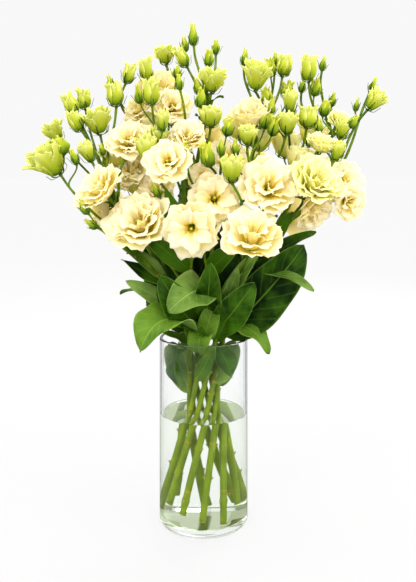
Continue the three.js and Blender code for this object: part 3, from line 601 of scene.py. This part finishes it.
def stem_skin(s):
    spot = s.node("TexCoord", out="Object")
    where = s.node("TexCoord", out="UV")
    scar = (where.part("Y").math("FRACT") - 0.5).math("ABSOLUTE").between(0.486, 0.494)
    streak = s.node("TexNoise", {"W": where.part("X") * 14.0}, {"noise_dimensions": "1D"}).between(0.42, 0.62)
    blotch = s.node("TexNoise", {"Vector": spot, "Scale": 60.0, "Detail": 3.0})
    low = 1 - spot.part("Z").between(0.1, 0.24)
    fresh = s.mix(blotch.between(0.3, 0.7), (0.03, 0.08, 0.001), (0.15, 0.24, 0.004))
    pale = s.mix(low * 0.45, fresh, (0.27, 0.33, 0.006))
    streaked = s.mix(streak * 0.5, pale, (0.045, 0.1, 0.002))
    colour = s.mix(scar * 0.7, streaked, (0.33, 0.22, 0.02))
    return s.node("BsdfPrincipled", {"Base Color": colour, "Roughness": 0.42, "Specular IOR Level": 0.09})


def grainy_skin(s, scale, detail, one, other, rough):
    grain = s.node("TexNoise", {"Vector": s.node("TexCoord", out="Object"), "Scale": scale, "Detail": detail})
    return s.node("BsdfPrincipled", {"Base Color": s.mix(grain, one, other), "Roughness": rough})


def line_run(line):
    return np.concatenate([[0], np.cumsum(np.linalg.norm(np.diff(line, axis=0), axis=1))])


def stem_radii(run, radius, end_share, shift):
    """A slight taper, a knuckle at each joint, and a swollen end under the flower."""
    taper = 1 + (end_share - 1) * run / run[-1]
    to_joint = np.abs((run / JOINT["step"] + shift + 0.5) % 1 - 0.5) * JOINT["step"]
    thick = radius * taper * (1 + JOINT["swell"] * np.exp(-((to_joint / JOINT["reach"]) ** 2)))
    return thick + (CALYX["cup"] - thick) * np.exp(-(((run[-1] - run) / CALYX["reach"]) ** 2))


def add_scars(whole, line, run, radius, shift):
    """The two lips that a stripped pair of leaves leaves at each low joint."""
    for joint in np.arange(1 - shift, 4) * JOINT["step"]:
        at = np.array([np.interp(joint, run, line[:, axis]) for axis in range(3)])
        ahead = unit([np.interp(joint + 2, run, line[:, axis]) - at[axis] for axis in range(3)])
        side = unit(np.cross(ahead, [math.cos(joint), math.sin(joint), 0.2]))
        for way in (-1, 1):
            out = side * way
            lip = at + np.outer([0.4, 1.0, 1.35, 1.6], out) * radius + np.outer([-0.5, 0.0, 0.8, 1.9], ahead)
            add_tube(whole, lip, np.array([1.5, 1.4, 0.9, 0.35]), 8, 1)


fresh_stem = finished("fresh_stem", stem_skin)
leaf_scar = finished("leaf_scar", grainy_skin, 500.0, 2.0, (0.4, 0.24, 0.02), (0.24, 0.24, 0.03), 0.7)
twigs = [twig(name, flower) for name, flowers in SMALL_BUDS.items() for flower in flowers]
for number, name in enumerate(STEMS):
    whole = bmesh.new()
    for route in (r for r in routes + twigs if r["stem"] == name):
        if route["radius"] < STEM["radius"]:
            line = smooth_line(route["points"], 6)
            run = line_run(line)
            radii = stem_radii(run, route["radius"], STALK["taper"], 0.0)
            add_tube(whole, line, radii, 8, 0, run[-1] / JOINT["step"])
            continue
        line = smooth_line(route["points"], 14)[number * 3 % 4:]
        run = line_run(line)
        shift = number * JOINT["shift"] % JOINT["shift_most"]
        radii = stem_radii(run, route["radius"] * STEM["filled"], STEM["taper"], shift)
        add_tube(whole, line, radii, 12, 0, run[-1] / JOINT["step"], shift)
        add_scars(whole, line, run, route["radius"] * 1.15, shift)
        cut_end = line[0] + np.outer([-0.1, 0.5], unit(line[1] - line[0]))
        add_tube(whole, cut_end, np.array([1.02, 1.02]) * radii[0], 12, 1)
    placed(sealed(whole), f"stem_{name}_stalks", [fresh_stem, leaf_scar], f"stem_{name}")

# ------------------------------------------------------------
# Leaves: ovate and smooth-edged, in pairs that clasp the stem, a soft waxy green above and paler beneath,
# with a pale midrib and faint arched side veins. Each bows over from its stem, and its edges wave.

LEAF = {"thick": 0.45, "steps": 4, "narrow": 23, "round": 0.84, "full": 0.75, "broad": 0.58, "cup": 0.3,
        "wave": 1.7, "curl": 0.16}


def leaf_skin(s, deep, light, vein, rough, coat):
    where = s.node("TexCoord", out="UV")
    spot = s.node("TexCoord", out="Object")
    off = (where.part("X") - 0.5).math("ABSOLUTE")
    midrib = 1 - off.between(0.006, 0.024)
    arch = ((where.part("Y") - off * 0.5) * 8.0).math("FRACT")
    veins = (1 - (arch - 0.5).math("ABSOLUTE").between(0.03, 0.12)) * off.between(0.03, 0.1) * 0.25
    patch = s.node("TexNoise", {"Vector": spot, "Scale": 16.0, "Detail": 2.0})
    speck = s.node("TexNoise", {"Vector": spot, "Scale": 90.0, "Detail": 4.0})
    blade = s.mix((patch + speck * 0.3 - 0.15).between(0.34, 0.66), deep, light)
    margin = off.between(0.46, 0.49) * 0.6
    lines = midrib.math("MAXIMUM", veins).math("MAXIMUM", margin)
    bump = s.node("Bump", {"Strength": 0.35, "Distance": 0.0006, "Height": lines + speck * 0.5})
    body = s.node("BsdfPrincipled", {
        "Base Color": s.mix(lines * 0.55, blade, vein), "Roughness": speck * 0.15 + rough, "Normal": bump,
        "Coat Weight": coat, "Coat Roughness": 0.35, "Specular IOR Level": 0.07,
    })
    glow = s.node("BsdfTranslucent", {"Color": (0.2, 0.42, 0.008)})
    return s.node("MixShader", {0: 0.12, 1: body, 2: glow})


leaf_top, leaf_under, young_leaf, deep_leaf = (finished(name, leaf_skin, *look) for name, *look in (
    ("leaf_top", (0.0015, 0.012, 0.0004), (0.045, 0.13, 0.0025), (0.13, 0.26, 0.015), 0.42, 0.02),
    ("leaf_under", (0.045, 0.11, 0.01), (0.17, 0.28, 0.05), (0.34, 0.45, 0.11), 0.5, 0.02),
    # The next finish is a lighter green, painted light for leaves that stand lit
    ("young_leaf", (0.035, 0.1, 0.004), (0.12, 0.23, 0.018), (0.26, 0.38, 0.06), 0.4, 0.04),
    # The next finish is a darker green, painted shade for inner leaves deep between the stems
    ("deep_leaf", (0.001, 0.007, 0.0003), (0.012, 0.045, 0.001), (0.05, 0.11, 0.008), 0.5, 0.02),
))

# Leaves painted a lighter green as painted light, where they stand lit, and leaves that have turned over and
# show their paler underside, by their stem and their place on it
PAINTED_LIT_LEAVES = (("front_left", 0), ("front_left", 4), ("front", 0), ("front", 2), ("front", 6),
                ("front_right", 1), ("right", 2), ("right", 5), ("far_left", 4))
TURNED_LEAVES = (("front", 1), ("front_right", 0), ("front_right", 1), ("right", 1), ("far_left", 0),
                 ("far_left", 2))

# Leaves low in the vase's neck and deep between the stems, which the solid stems go without. Those deep
# between the stems, above the vase, are painted a darker green as painted shade
INNER_LEAVES = {
    "far_left": [leaf(141, [-41, 203, -8], 30, 7, [-0.3, 1, 0.3]),
                 leaf(232, [-34, 300, -6], 44, 6, [0, -1, 0.2])],
    "front_left": [leaf(150, [-27, 204, -26], 22, 5, [0.3, 1, 0.2]),
                   leaf(222, [-34, 262, -20], 40, 6, [0, -1, 0.4])],
    "right": [leaf(158, [38, 204, -8], 28, 6, [0.3, 1, 0.2]),
              leaf(236, [84, 300, -14], 40, 8, [0.2, -1, 0.2])],
    "front": [leaf(162, [13, 200, -34], 16, 4, [0.2, -1, 0.3])],
    "front_right": [leaf(230, [44, 306, -22], 44, 6, [0, -1, 0.2])],
    "tall": [leaf(240, [6, 308, 6], 46, 6, [0, -1, 0.1]), leaf(216, [22, 262, -6], 40, 5, [0, -1, 0.2])],
    "back_left": [leaf(238, [-66, 312, 4], 42, 6, [0, -1, 0.2])],
    "back_right": [leaf(244, [62, 318, 14], 44, 8, [0.1, -1, 0.2]),
                   leaf(150, [30, 200, 22], 26, 5, [0.3, 1, 0.2])],
    "back": [leaf(156, [-6, 204, 36], 26, 5, [0, 1, 0.2]), leaf(246, [26, 330, 20], 44, 8, [0, -1, 0.1])],
}


def stem_point(points, height):
    for low, high in zip(points, points[1:]):
        if high[2] >= height:
            return low + (high - low) * (height - low[2]) / (high[2] - low[2])
    return points[-1]


def add_leaf(whole, base, spec, index, columns=10, rows=22, over=1, finish=0):
    """One blade: its midrib bows from the base to the tip, and its two halves fold up along it."""
    tip, width = spec["tip"], spec["width"]
    along = unit(tip - base)
    up = np.array(spec["face"], float)
    up = unit(up - along * up.dot(along))
    bend = (base + tip) / 2 + up * spec["bow"] * 2
    steps = LEAF["steps"] - (width < LEAF["narrow"])
    fullness = LEAF["broad" if width > LEAF["narrow"] else "full"]
    wave = LEAF["wave"] * (1 if index % 2 else -1)

    def formula(u, v):
        t = v[:, None]
        rib = (1 - t) ** 2 * base + 2 * (1 - t) * t * bend + t ** 2 * tip
        run = 2 * (1 - t) * (bend - base) + 2 * t * (tip - bend)
        run /= np.linalg.norm(run, axis=1, keepdims=True)
        normal = up - run * (run @ up)[:, None]
        normal /= np.linalg.norm(normal, axis=1, keepdims=True)
        side = np.cross(run, normal)
        across = (u * 2 - 1) * over
        swell = np.sin(math.pi * np.clip(v, 0, 1) ** LEAF["round"]) ** fullness
        reach = width / 2 * swell + 0.7 * (1 - v)
        fold = LEAF["cup"] * reach * np.abs(across) ** 1.4
        ripple = across * wave * np.sin(2.1 * (steps + 1) * v)
        frill = across ** 2 * np.abs(across) * width * 0.05 * np.sin(14 * v + 3 * across + index)
        lift = fold - ripple + frill * np.sin(math.pi * v) - LEAF["curl"] * width * v ** 4
        return rib + side * (across * reach)[:, None] + normal * lift[:, None]

    add_sheet(whole, columns, rows, formula, finish)


leaf_finishes = [leaf_top, leaf_under, young_leaf, leaf_under, deep_leaf, deep_leaf]
mains = {route["stem"]: route["points"] for route in routes if "main" not in route}
for name, (_, _, leaves) in STEMS.items():
    whole = bmesh.new()
    for i, spec in enumerate(leaves + INNER_LEAVES.get(name, [])):
        over = -1 if (name, i) in TURNED_LEAVES else 1
        # Inner leaves above the vase, deep between the stems, get the darker green of painted shade
        between = i >= len(leaves) and spec["height"] > VASE["height"]
        # The listed leaves that stand lit get the lighter green of painted light
        top = young_leaf if (name, i) in PAINTED_LIT_LEAVES else deep_leaf if between else leaf_top
        base = stem_point(mains[name], spec["height"])
        add_leaf(whole, base, spec, i, over=over, finish=leaf_finishes.index(top))
    placed(sealed(whole), f"stem_{name}_leaves", leaf_finishes, f"stem_{name}", LEAF["thick"], 1)

# ------------------------------------------------------------
# Sepals and bracts: under every flower and bud five long, thin, pointed green sepals spread from the swollen
# end of its stalk, and a pair of narrow bracts sits where each stalk forks off.

SEPAL = {"count": 5, "thick": 0.35}

# Buds from this width on have burst open
BURSTING = 21.5


def stood(points, flower, lift=0.0):
    """What is made along +Z, leant and moved onto the end of its stalk."""
    turn = np.array(Vector((0, 0, 1)).rotation_difference(Vector(flower["face"])).to_matrix())
    return points @ turn.T + flower["seat"] + flower["face"] * lift


def polar(radius, angle, height):
    return np.stack([radius * np.cos(angle), radius * np.sin(angle), height + 0 * angle], 1)


def add_sepal(whole, flower, angle, draw):
    if flower["kind"] == "bloom":
        long, hug, spread = draw.uniform(15, 21), 2.2, draw.uniform(0.3, 0.6)
    else:
        long = min(flower["deep"] * 0.65, 12) * draw.uniform(0.8, 1.2)
        hug = flower["across"] * (0.46 if flower["across"] < BURSTING else 0.3) + 0.5
        spread = draw.uniform(0.06, 0.4)

    def formula(u, v):
        across = u * 2 - 1
        swell = 0.7 + 0.3 * np.sin(math.pi * np.minimum(v * 2, 1))
        half = CALYX["width"] / 2 * np.sqrt(1 - v * 0.98) * swell
        radius = 2.0 + (hug - 2.0) * np.sin(math.pi / 2 * np.minimum(v * 2.2, 1)) + long * spread * v ** 2.2
        height = long * (1 - 0.3 * spread) * v ** 1.25 - 1.5
        turn = angle + across * half / radius
        return stood(polar(radius + 0.3 * across ** 2, turn, height), flower)

    add_sheet(whole, 2, 9, formula)


def add_bract(whole, base, out, up, length, width):
    spec = {"tip": base + out * length * 0.7 + up * length * 0.72, "width": width, "bow": length * 0.14,
            "face": up * 0.6 - out}
    add_leaf(whole, base, spec, 0, 4, 9)


for name, (_, flowers, _) in STEMS.items():
    whole = bmesh.new()
    draw = np.random.default_rng(len(name) * 7 + len(flowers))
    for flower in HEADS[name]:
        start = draw.uniform(0, 2)
        for i in range(SEPAL["count"]):
            add_sepal(whole, flower, start + i * math.tau / SEPAL["count"], draw)
    points = mains[name]
    for fork in sorted({route["fork"] for route in routes if route["stem"] == name and "main" in route}):
        run = unit(points[fork + 1] - points[fork - 1])
        out = unit(np.cross(run, [math.cos(fork * 2.1), math.sin(fork * 2.1), 0.1]))
        for side in (-1, 1):
            add_bract(whole, points[fork], out * side, run, draw.uniform(20, 30), draw.uniform(6, 9))
    finishes = [leaf_top, leaf_under]
    placed(sealed(whole), f"stem_{name}_sepals", finishes, f"stem_{name}", SEPAL["thick"], 1)

# ------------------------------------------------------------
# Buds: petals wound round each other like a closed umbrella over a swollen green base, the small tight ones
# with a twisted tip. The narrower opening buds are the same in lime, with parted, ruffled tips.

BUDS = {
    "tight": {"petals": 4, "inside": 0, "full": 1.35, "swell": 0.7, "flare": 0.8, "ruffle": 0.1,
              "twist": 1.6, "point": 0.4},
    "furled": {"petals": 5, "inside": 3, "full": 1.0, "swell": 0.78, "flare": 1.2, "ruffle": 0.24,
               "twist": 1.1, "point": 0.5},
    "opening": {"petals": 5, "inside": 5, "full": 0.8, "swell": 0.86, "flare": 1.5, "ruffle": 0.34,
                "twist": 0.9, "point": 0.55},
}

# How thick the petals of green buds and of open flowers are
PETAL = {"green": 0.25, "open": 0.3}


def petal_skin(s, stops, glow_colour, glow_share):
    """A soft petal, coloured along its own length from its root to its rim."""
    where = s.node("TexCoord", out="UV")
    blotch = s.node("TexNoise", {"Vector": s.node("TexCoord", out="Object"), "Scale": 90.0, "Detail": 3.0})
    stripes = s.node("TexNoise", {"W": where.part("X") * 26.0, "Detail": 2.0}, {"noise_dimensions": "1D"})
    along = where.part("Y") + blotch * 0.16 + stripes * 0.1 - 0.13
    colour = s.node("ValToRGB", {"Fac": along}, {"stops": stops})
    bump = s.node("Bump", {"Strength": 0.2, "Distance": 0.0004, "Height": stripes + blotch * 0.3})
    body = s.node("BsdfPrincipled", {
        "Base Color": colour, "Roughness": 0.55, "Normal": bump, "Specular IOR Level": 0.05,
    })
    glow = s.node("BsdfTranslucent", {"Color": glow_colour})
    return s.node("MixShader", {0: glow_share, 1: body, 2: glow})


lime_petal, green_bud = (finished(name, petal_skin, *look) for name, *look in (
    ("lime_petal", [(0.0, 0.1, 0.21, 0.008), (0.3, 0.34, 0.43, 0.02), (0.65, 0.56, 0.6, 0.055),
                    (1.0, 0.84, 0.83, 0.3)], (0.8, 0.87, 0.15), 0.4),
    ("green_bud", [(0.0, 0.06, 0.15, 0.006), (0.35, 0.2, 0.31, 0.014), (0.7, 0.4, 0.48, 0.025),
                   (1.0, 0.74, 0.7, 0.1)], (0.66, 0.78, 0.07), 0.35),
))


def add_bud(whole, flower, lift, draw):
    form = BUDS[flower["kind"]]
    half, deep = flower["across"] / 2, flower["deep"]
    start = draw.uniform(0, 6)
    for layer, count in enumerate((form["petals"], form["inside"])):
        for i in range(count):
            middle = start + layer * 0.7 + i * math.tau / count
            phase = draw.uniform(0, 6, 3)
            height = deep * draw.uniform(0.84, 1.04)
            flare = form["flare"] * draw.uniform(0.6, 1.2)

            def formula(u, v):
                across = u * 2 - 1
                t = v * (1 - form["point"] * np.abs(across) ** 1.4)
                body = np.sin(math.pi * (0.05 + 0.95 * t) ** form["swell"]) ** form["full"]
                body = body * (1 + 0.06 * np.sin(6 * across + phase[1]) * t)
                radius = (body + 0.24 * (1 - t) + flare * t ** 6) * half * 0.88 * (1 - 0.26 * layer)
                wave = np.sin(4 * across + phase[0]) + 0.7 * np.sin(9 * across + phase[1])
                radius = radius * (1 + 0.16 * across * (0.3 + t)) + half * form["ruffle"] * t ** 3 * wave
                turn = middle + across * (1.0 if layer == 0 else 1.2) + form["twist"] * t
                tall = height * t * (1 + 0.08 * np.sin(5 * across + phase[2]) * t ** 3)
                return stood(polar(np.maximum(radius, 0.3), turn, tall), flower, lift)

            add_sheet(whole, 10, 11, formula)


for name, heads in HEADS.items():
    draw = np.random.default_rng(sum(map(ord, name)))
    whole = bmesh.new()
    for flower in heads:
        if flower["kind"] in ("tight", "furled"):
            add_bud(whole, flower, -0.6, draw)
    placed(sealed(whole), f"stem_{name}_buds", [green_bud], f"stem_{name}", PETAL["green"])

openings = [route["flower"] for route in routes if route["flower"]["kind"] == "opening"]
for number, flower in enumerate(openings, 1):
    if flower["across"] < BURSTING:
        whole = bmesh.new()
        add_bud(whole, flower, 0.6, np.random.default_rng(100 + number))
        node = f"bud_{number:02d}"
        placed(sealed(whole), node + "_petals", [lime_petal], node, PETAL["open"])

# ------------------------------------------------------------
# Open flowers: ten to twenty broad, thin petals in whorls, each whorl set between the petals of the one
# outside it, with ruffled rims. The blooms are cream with gold throats. The ruffled and half-open heads and
# the buds that have burst open are smaller cups of such petals, lime or yellow cream.

# Each whorl: its petals, how far it is turned, its share of the flower's width and height, the radius and
# level of its root, how much of its width it has early on, the power of the rest, and that of its rise
WHORLS = {
    "open": [(5, 0.0, 0.95, 0.74, 3.6, 3.0, 0.45, 1.8, 0.9), (5, 0.5, 0.8, 0.94, 3.0, 4.0, 0.2, 2.6, 0.75)],
    "rosette": [(5, 0.0, 0.96, 0.72, 3.6, 3.0, 0.7, 2.0, 1.2), (5, 0.4, 0.82, 0.86, 3.2, 4.0, 0.6, 3.0, 1.1),
                (4, 0.2, 0.52, 0.98, 2.6, 5.2, 0.5, 5.0, 0.9)],
    "full": [(5, 0.0, 0.98, 0.74, 3.6, 3.0, 0.72, 2.0, 1.3), (5, 0.3, 0.86, 0.84, 3.2, 3.8, 0.7, 3.0, 1.3),
             (5, 0.6, 0.7, 0.93, 2.8, 4.6, 0.65, 4.0, 1.2), (4, 0.2, 0.46, 0.98, 2.4, 5.4, 0.6, 5.0, 1.1)],
    "cup": [(5, 0.0, 0.96, 0.84, 2.4, 0.3, 1.35, 3.0, 0.95), (5, 0.5, 0.82, 0.95, 2.2, 1.2, 1.25, 3.0, 1.0),
            (4, 0.2, 0.5, 1.0, 2.0, 2.2, 1.2, 3.0, 1.0)],
    "bursting": [(5, 0.0, 1.16, 0.82, 2.6, 0.5, 0.78, 3.5, 1.2),
                 (5, 0.5, 0.98, 0.96, 2.4, 1.5, 0.78, 4.0, 1.15),
                 (4, 0.2, 0.64, 1.0, 2.2, 2.5, 0.7, 5.0, 1.1)],
}

# The blooms that aren't plain rosettes, and those of a limier cream, by number
OPEN_BLOOMS = (1, 2, 13, 15)
FULL_BLOOMS = (5, 9, 27, 29)
CUPPED_BLOOMS = (12, 18)
LIME_BLOOMS = (5, 9, 10)

# How pointed a petal is, how much its rim is frilled and ruffled, and its sheet's columns and rows
RIMS = {"bloom": (0.17, 0.45, 1.0, 14, 12), "opening": (0.42, 0.2, 1.7, 14, 12),
        "ruffled": (0.28, 0.35, 1.6, 10, 10), "half_open": (0.2, 0.4, 1.3, 10, 10)}

# How much wider than its solid a bloom is, and how far it nods from its solid's facing
SIZES = {4: 0.84, 7: 1.35, 8: 1.4, 14: 0.97, 18: 1.2, 19: 1.2, 20: 1.2, 23: 1.12, 25: 1.25, 26: 1.25,
         28: 1.15}
NODS = {4: (0.0, 0.1, 0.2), 7: (-0.3, -0.5, 0.1), 8: (-0.3, -0.5, 0.0), 10: (0.0, -0.4, 0.0),
        12: (0.1, -0.5, 0.0), 18: (0.0, -0.6, 0.0)}

# How far above its seat a bloom's petals start, where it faces forward and where it doesn't
LIFT = {"forward": 0.5, "away": 1.8}

cream_petal, cream_outside, lime_cream_petal, gold_petal = (
    finished(name, petal_skin, *look) for name, *look in (
        ("cream_petal", [(0.0, 0.32, 0.27, 0.01), (0.14, 0.95, 0.72, 0.06), (0.36, 1.0, 0.9, 0.38),
                         (0.72, 1.0, 0.965, 0.91)], (1.0, 0.92, 0.38), 0.58),
        ("cream_outside", [(0.0, 0.5, 0.55, 0.1), (0.14, 0.93, 0.87, 0.38), (0.36, 1.0, 0.94, 0.62),
                           (0.72, 1.0, 0.965, 0.91)], (1.0, 0.92, 0.38), 0.58),
        ("lime_cream_petal", [(0.0, 0.4, 0.45, 0.03), (0.16, 0.88, 0.8, 0.1), (0.42, 0.98, 0.93, 0.36),
                              (0.8, 1.0, 0.98, 0.68)], (0.98, 0.96, 0.4), 0.52),
        ("gold_petal", [(0.0, 0.3, 0.38, 0.02), (0.2, 0.74, 0.76, 0.12), (0.55, 0.98, 0.94, 0.42),
                        (1.0, 1.0, 0.97, 0.78)], (0.98, 0.95, 0.36), 0.58),
    )
)


def add_petal(whole, flower, whorl, middle, lift, size, draw):
    across, deep = flower["across"] * size, flower["deep"]
    petals, _, flare, reach, root, level, early, late, climb = whorl
    rim = across / 2 * flare * draw.uniform(0.93, 1.04)
    tall = deep * reach * draw.uniform(0.92, 1.04)
    phase = draw.uniform(0, math.tau, 5)
    point, frill, share, columns, rows = RIMS[flower["kind"]]
    ruffle = across * draw.uniform(0.028, 0.05) * share
    wide = math.pi / petals * draw.uniform(1.2, 1.5)
    curl = across * flare * draw.uniform(0.02, 0.09)
    sway = draw.uniform(-0.05, 0.05) * across

    def section(t):
        share = early * np.sqrt(t) + (1 - early) * t ** late
        return root + (rim - root) * share, level + (tall - level) * t ** climb

    def formula(u, v):
        side = u * 2 - 1
        notch = 0.06 * np.sin(6 * side + phase[0]) - 0.09 * np.abs(np.sin(8 * side + phase[3]))
        t = np.clip(v * (1 - point * np.abs(side) ** 2.0 + v ** 6 * notch), 0.0, 1.05)
        radius, height = section(t)
        before = section(np.maximum(t - 0.04, 0.0))
        after = section(t + 0.04)
        dr, dh = after[0] - before[0], after[1] - before[1]
        step = np.hypot(dr, dh)
        out_r, out_h = dh / step, -dr / step
        wave = v ** 3 * ruffle * (np.sin(4.4 * side + phase[1]) + 0.55 * np.sin(9.5 * side + phase[2]))
        wave += v ** 7 * ruffle * frill * np.sin(20 * side + phase[4])
        fold = across * 0.035 * side * v ** 0.7 + sway * side * v ** 2 - 0.04 * across * side ** 2 * v
        off = wave + fold + curl * v ** 5
        turn = middle + side * wide * (0.8 + 0.3 * v)
        return stood(polar(np.maximum(radius + out_r * off, 0.4), turn, height + out_h * off), flower, lift)

    add_sheet(whole, columns, rows, formula)


def flower_head(whole, flower, kind, lift, size, draw):
    start = draw.uniform(0, 6)
    for whorl in WHORLS[kind]:
        for i in range(whorl[0]):
            middle = start + (i + whorl[1]) * math.tau / whorl[0] + draw.uniform(-0.1, 0.1)
            add_petal(whole, flower, whorl, middle, lift, size, draw)
    return whole


for kind, what, slot, finish in (("ruffled", "ruffles", "lime", lime_petal),
                                 ("half_open", "cups", "cream", gold_petal)):
    for name, flowers in HEADS.items():
        heads = [flower for flower in flowers if flower["kind"] == kind]
        if heads:
            whole = bmesh.new()
            draw = np.random.default_rng(sum(map(ord, name)))
            for flower in heads:
                flower_head(whole, flower, "cup", -0.4, 1.0, draw)
            placed(sealed(whole), f"stem_{name}_{what}", [finish], f"stem_{name}", PETAL["open"])

for number, flower in enumerate(openings, 1):
    if flower["across"] > BURSTING:
        size = 0.91 if number == 1 else 1.0
        whole = flower_head(bmesh.new(), flower, "bursting", 0.6, size, np.random.default_rng(200 + number))
        node = f"bud_{number:02d}"
        placed(sealed(whole), node + "_petals", [lime_petal], node, PETAL["open"])

blooms = [route["flower"] for route in routes if route["flower"]["kind"] == "bloom"]
for number, by in NODS.items():
    blooms[number - 1] = dict(blooms[number - 1], face=unit(blooms[number - 1]["face"] + np.array(by)))
for number, flower in enumerate(blooms, 1):
    kind = "open" if number in OPEN_BLOOMS else "full" if number in FULL_BLOOMS else "rosette"
    if number in CUPPED_BLOOMS:
        kind, flower = "cup", dict(flower, kind="half_open")
    lift = LIFT["away" if flower["face"][1] > -0.5 else "forward"]
    size, draw = SIZES.get(number, 1.0), np.random.default_rng(number)
    whole = flower_head(bmesh.new(), flower, kind, lift, size, draw)
    finishes = [lime_cream_petal] * 2 if number in LIME_BLOOMS else [cream_outside, cream_petal]
    node = f"bloom_{number:02d}"
    placed(sealed(whole), node + "_petals", finishes, node, PETAL["open"], 1)

# ------------------------------------------------------------
# Throats: in the middle of each open bloom, a green pistil with a split tip stands among five thin filaments
# with gold anthers.

STAMEN = {"count": 5, "radius": 0.35, "anther": [0.4, 1.0, 1.2, 1.2, 1.0, 0.4], "anther_half": 1.8}

gold_anther = finished("gold_anther", grainy_skin, 900.0, 2.0, (0.55, 0.3, 0.01), (0.8, 0.56, 0.05), 0.8)
for number, flower in enumerate(blooms, 1):
    draw = np.random.default_rng(500 + number)
    whole = bmesh.new()
    tall = flower["deep"] * 0.5
    pistil = np.array([[0, 0, 4], [0, 0, tall * 0.6], [0.3, 0, tall], [0.6, 0.3, tall * 1.2]])
    pistil_radii = np.interp(np.arange(13), [0, 5, 8, 12], [2.2, 1.7, 0.8, 1.5])
    add_tube(whole, stood(smooth_line(pistil, 4), flower), pistil_radii, 8)
    for i in range(STAMEN["count"]):
        angle = i * math.tau / STAMEN["count"] + draw.uniform(-0.3, 0.3)
        lean = draw.uniform(0.25, 0.42) * tall
        out, up = np.array([0.6, lean * 0.5, lean]), [4, tall * 0.6, tall * draw.uniform(0.9, 1.15)]
        ends = np.stack([out * math.cos(angle), out * math.sin(angle), up], 1)
        add_tube(whole, stood(smooth_line(ends, 4), flower), np.full(9, STAMEN["radius"]), 6)
        span = np.linspace(-STAMEN["anther_half"], STAMEN["anther_half"], 6)
        anther = ends[2] + np.outer(span, unit(ends[2] - ends[1]))
        add_tube(whole, stood(anther, flower), np.array(STAMEN["anther"]), 8, 1)
    node = f"bloom_{number:02d}"
    placed(sealed(whole), node + "_stamens", [green_bud, gold_anther], node)

# ------------------------------------------------------------
# The stand for the picture: a plain pale floor that gives some light of its own, soft studio light and the
# camera. Two grey cards behind the vase, out of the picture, show only in clear things, where they draw the
# glass's thin edges.

FLOOR = {"half": 40.0, "under": -0.0002, "grey": (0.1, 0.1, 0.1), "light": 0.71}
CARD = {"half": (0.045, 0.07), "place": (0.19, 0.27, 0.07), "turn": 35, "grey": (0.36, 0.36, 0.36)}
LAMPS = {
    "key_light": {"place": (-0.9, -1.1, 1.5), "aim": 0.35, "size": 0.8, "power": 10.5},
    "fill_light": {"place": (1.2, -0.6, 1.1), "aim": 0.35, "size": 1.2, "power": 7},
    "back_light": {"place": (0.4, 1.2, 1.3), "aim": 0.4, "size": 1.0, "power": 16},
}

# The strength of the world for scattered light, and how much less of it shows itself and its mirror images
WORLD = {"scattered": 2.4, "less_seen": 1.46, "less_mirrored": 2.2}
CAMERA = {"place": (0.005, -0.825, 0.3966), "focal_px": 722.0, "long_px": 582.0, "horizon_px": 120.0}


def floor_skin(s):
    return s.node("BsdfPrincipled", {
        "Base Color": FLOOR["grey"], "Roughness": 0.5, "Specular IOR Level": 0.0,
        "Emission Color": (1, 1, 1), "Emission Strength": FLOOR["light"],
    })


def card_skin(s):
    return s.node("BsdfDiffuse", {"Color": CARD["grey"]})


def stage_sheet(name, finish, half, place_at, turn, unseen_by):
    sheet = bmesh.new()
    bmesh.ops.create_grid(sheet, x_segments=1, y_segments=1, size=1.0)
    mesh = bpy.data.meshes.new(name)
    sheet.to_mesh(mesh)
    sheet.free()
    mesh.materials.append(finish)
    made = bpy.data.objects.new(name, mesh)
    made.scale = (*half, 1)
    made.location = place_at
    made.rotation_euler = turn
    for sight in unseen_by:
        setattr(made, "visible_" + sight, False)
    bpy.context.scene.collection.objects.link(made)


stage_sheet("pale_floor", finished("pale_floor", floor_skin), [FLOOR["half"]] * 2, (0, 0, FLOOR["under"]),
            (0, 0, 0), ["glossy"])
grey_card = finished("grey_card", card_skin)
for side in (-1, 1):
    x, y, z = CARD["place"]
    turn = (math.pi / 2, 0, -side * math.radians(CARD["turn"]))
    stage_sheet("grey_card", grey_card, CARD["half"], (side * x, y, z), turn,
                ["camera", "diffuse", "glossy", "shadow"])

for name, spec in LAMPS.items():
    lamp = bpy.data.lights.new(name, "AREA")
    lamp.shape = "DISK"
    lamp.size = spec["size"]
    lamp.energy = spec["power"]
    made = bpy.data.objects.new(name, lamp)
    made.location = spec["place"]
    aim = Vector((0, 0, spec["aim"])) - Vector(spec["place"])
    made.rotation_euler = aim.to_track_quat("-Z", "Y").to_euler()
    bpy.context.scene.collection.objects.link(made)

world = bpy.data.worlds.new("studio")
bpy.context.scene.world = world
world.use_nodes = True
world.node_tree.nodes.clear()
s = Shade(world.node_tree)
seen = s.node("LightPath", out="Is Camera Ray")
passed = s.node("LightPath", out="Is Transmission Ray")
scattered = s.node("LightPath", out="Diffuse Depth").math("GREATER_THAN", 0.5)
clear = seen.math("MAXIMUM", passed * (1 - scattered))
mirrored = s.node("LightPath", out="Is Glossy Ray") * (1 - passed)
sky = s.node("TexCoord", out="Generated").part("Z").between(0.0, 0.3)
dim = clear * WORLD["less_seen"] + mirrored * (WORLD["less_mirrored"] - sky)
light = s.node("Background", {"Color": (1, 1, 1), "Strength": WORLD["scattered"] - dim})
s.node("OutputWorld", {"Surface": light})

lens = bpy.data.cameras.new("camera")
lens.sensor_width = 36.0
lens.lens = CAMERA["focal_px"] / CAMERA["long_px"] * lens.sensor_width
lens.shift_y = -CAMERA["horizon_px"] / CAMERA["long_px"]
camera = bpy.data.objects.new("camera", lens)
camera.location = CAMERA["place"]
camera.rotation_euler = (math.pi / 2, 0, 0)
bpy.context.scene.collection.objects.link(camera)
bpy.context.scene.camera = camera
bpy.context.scene.view_settings.view_transform = "Standard"
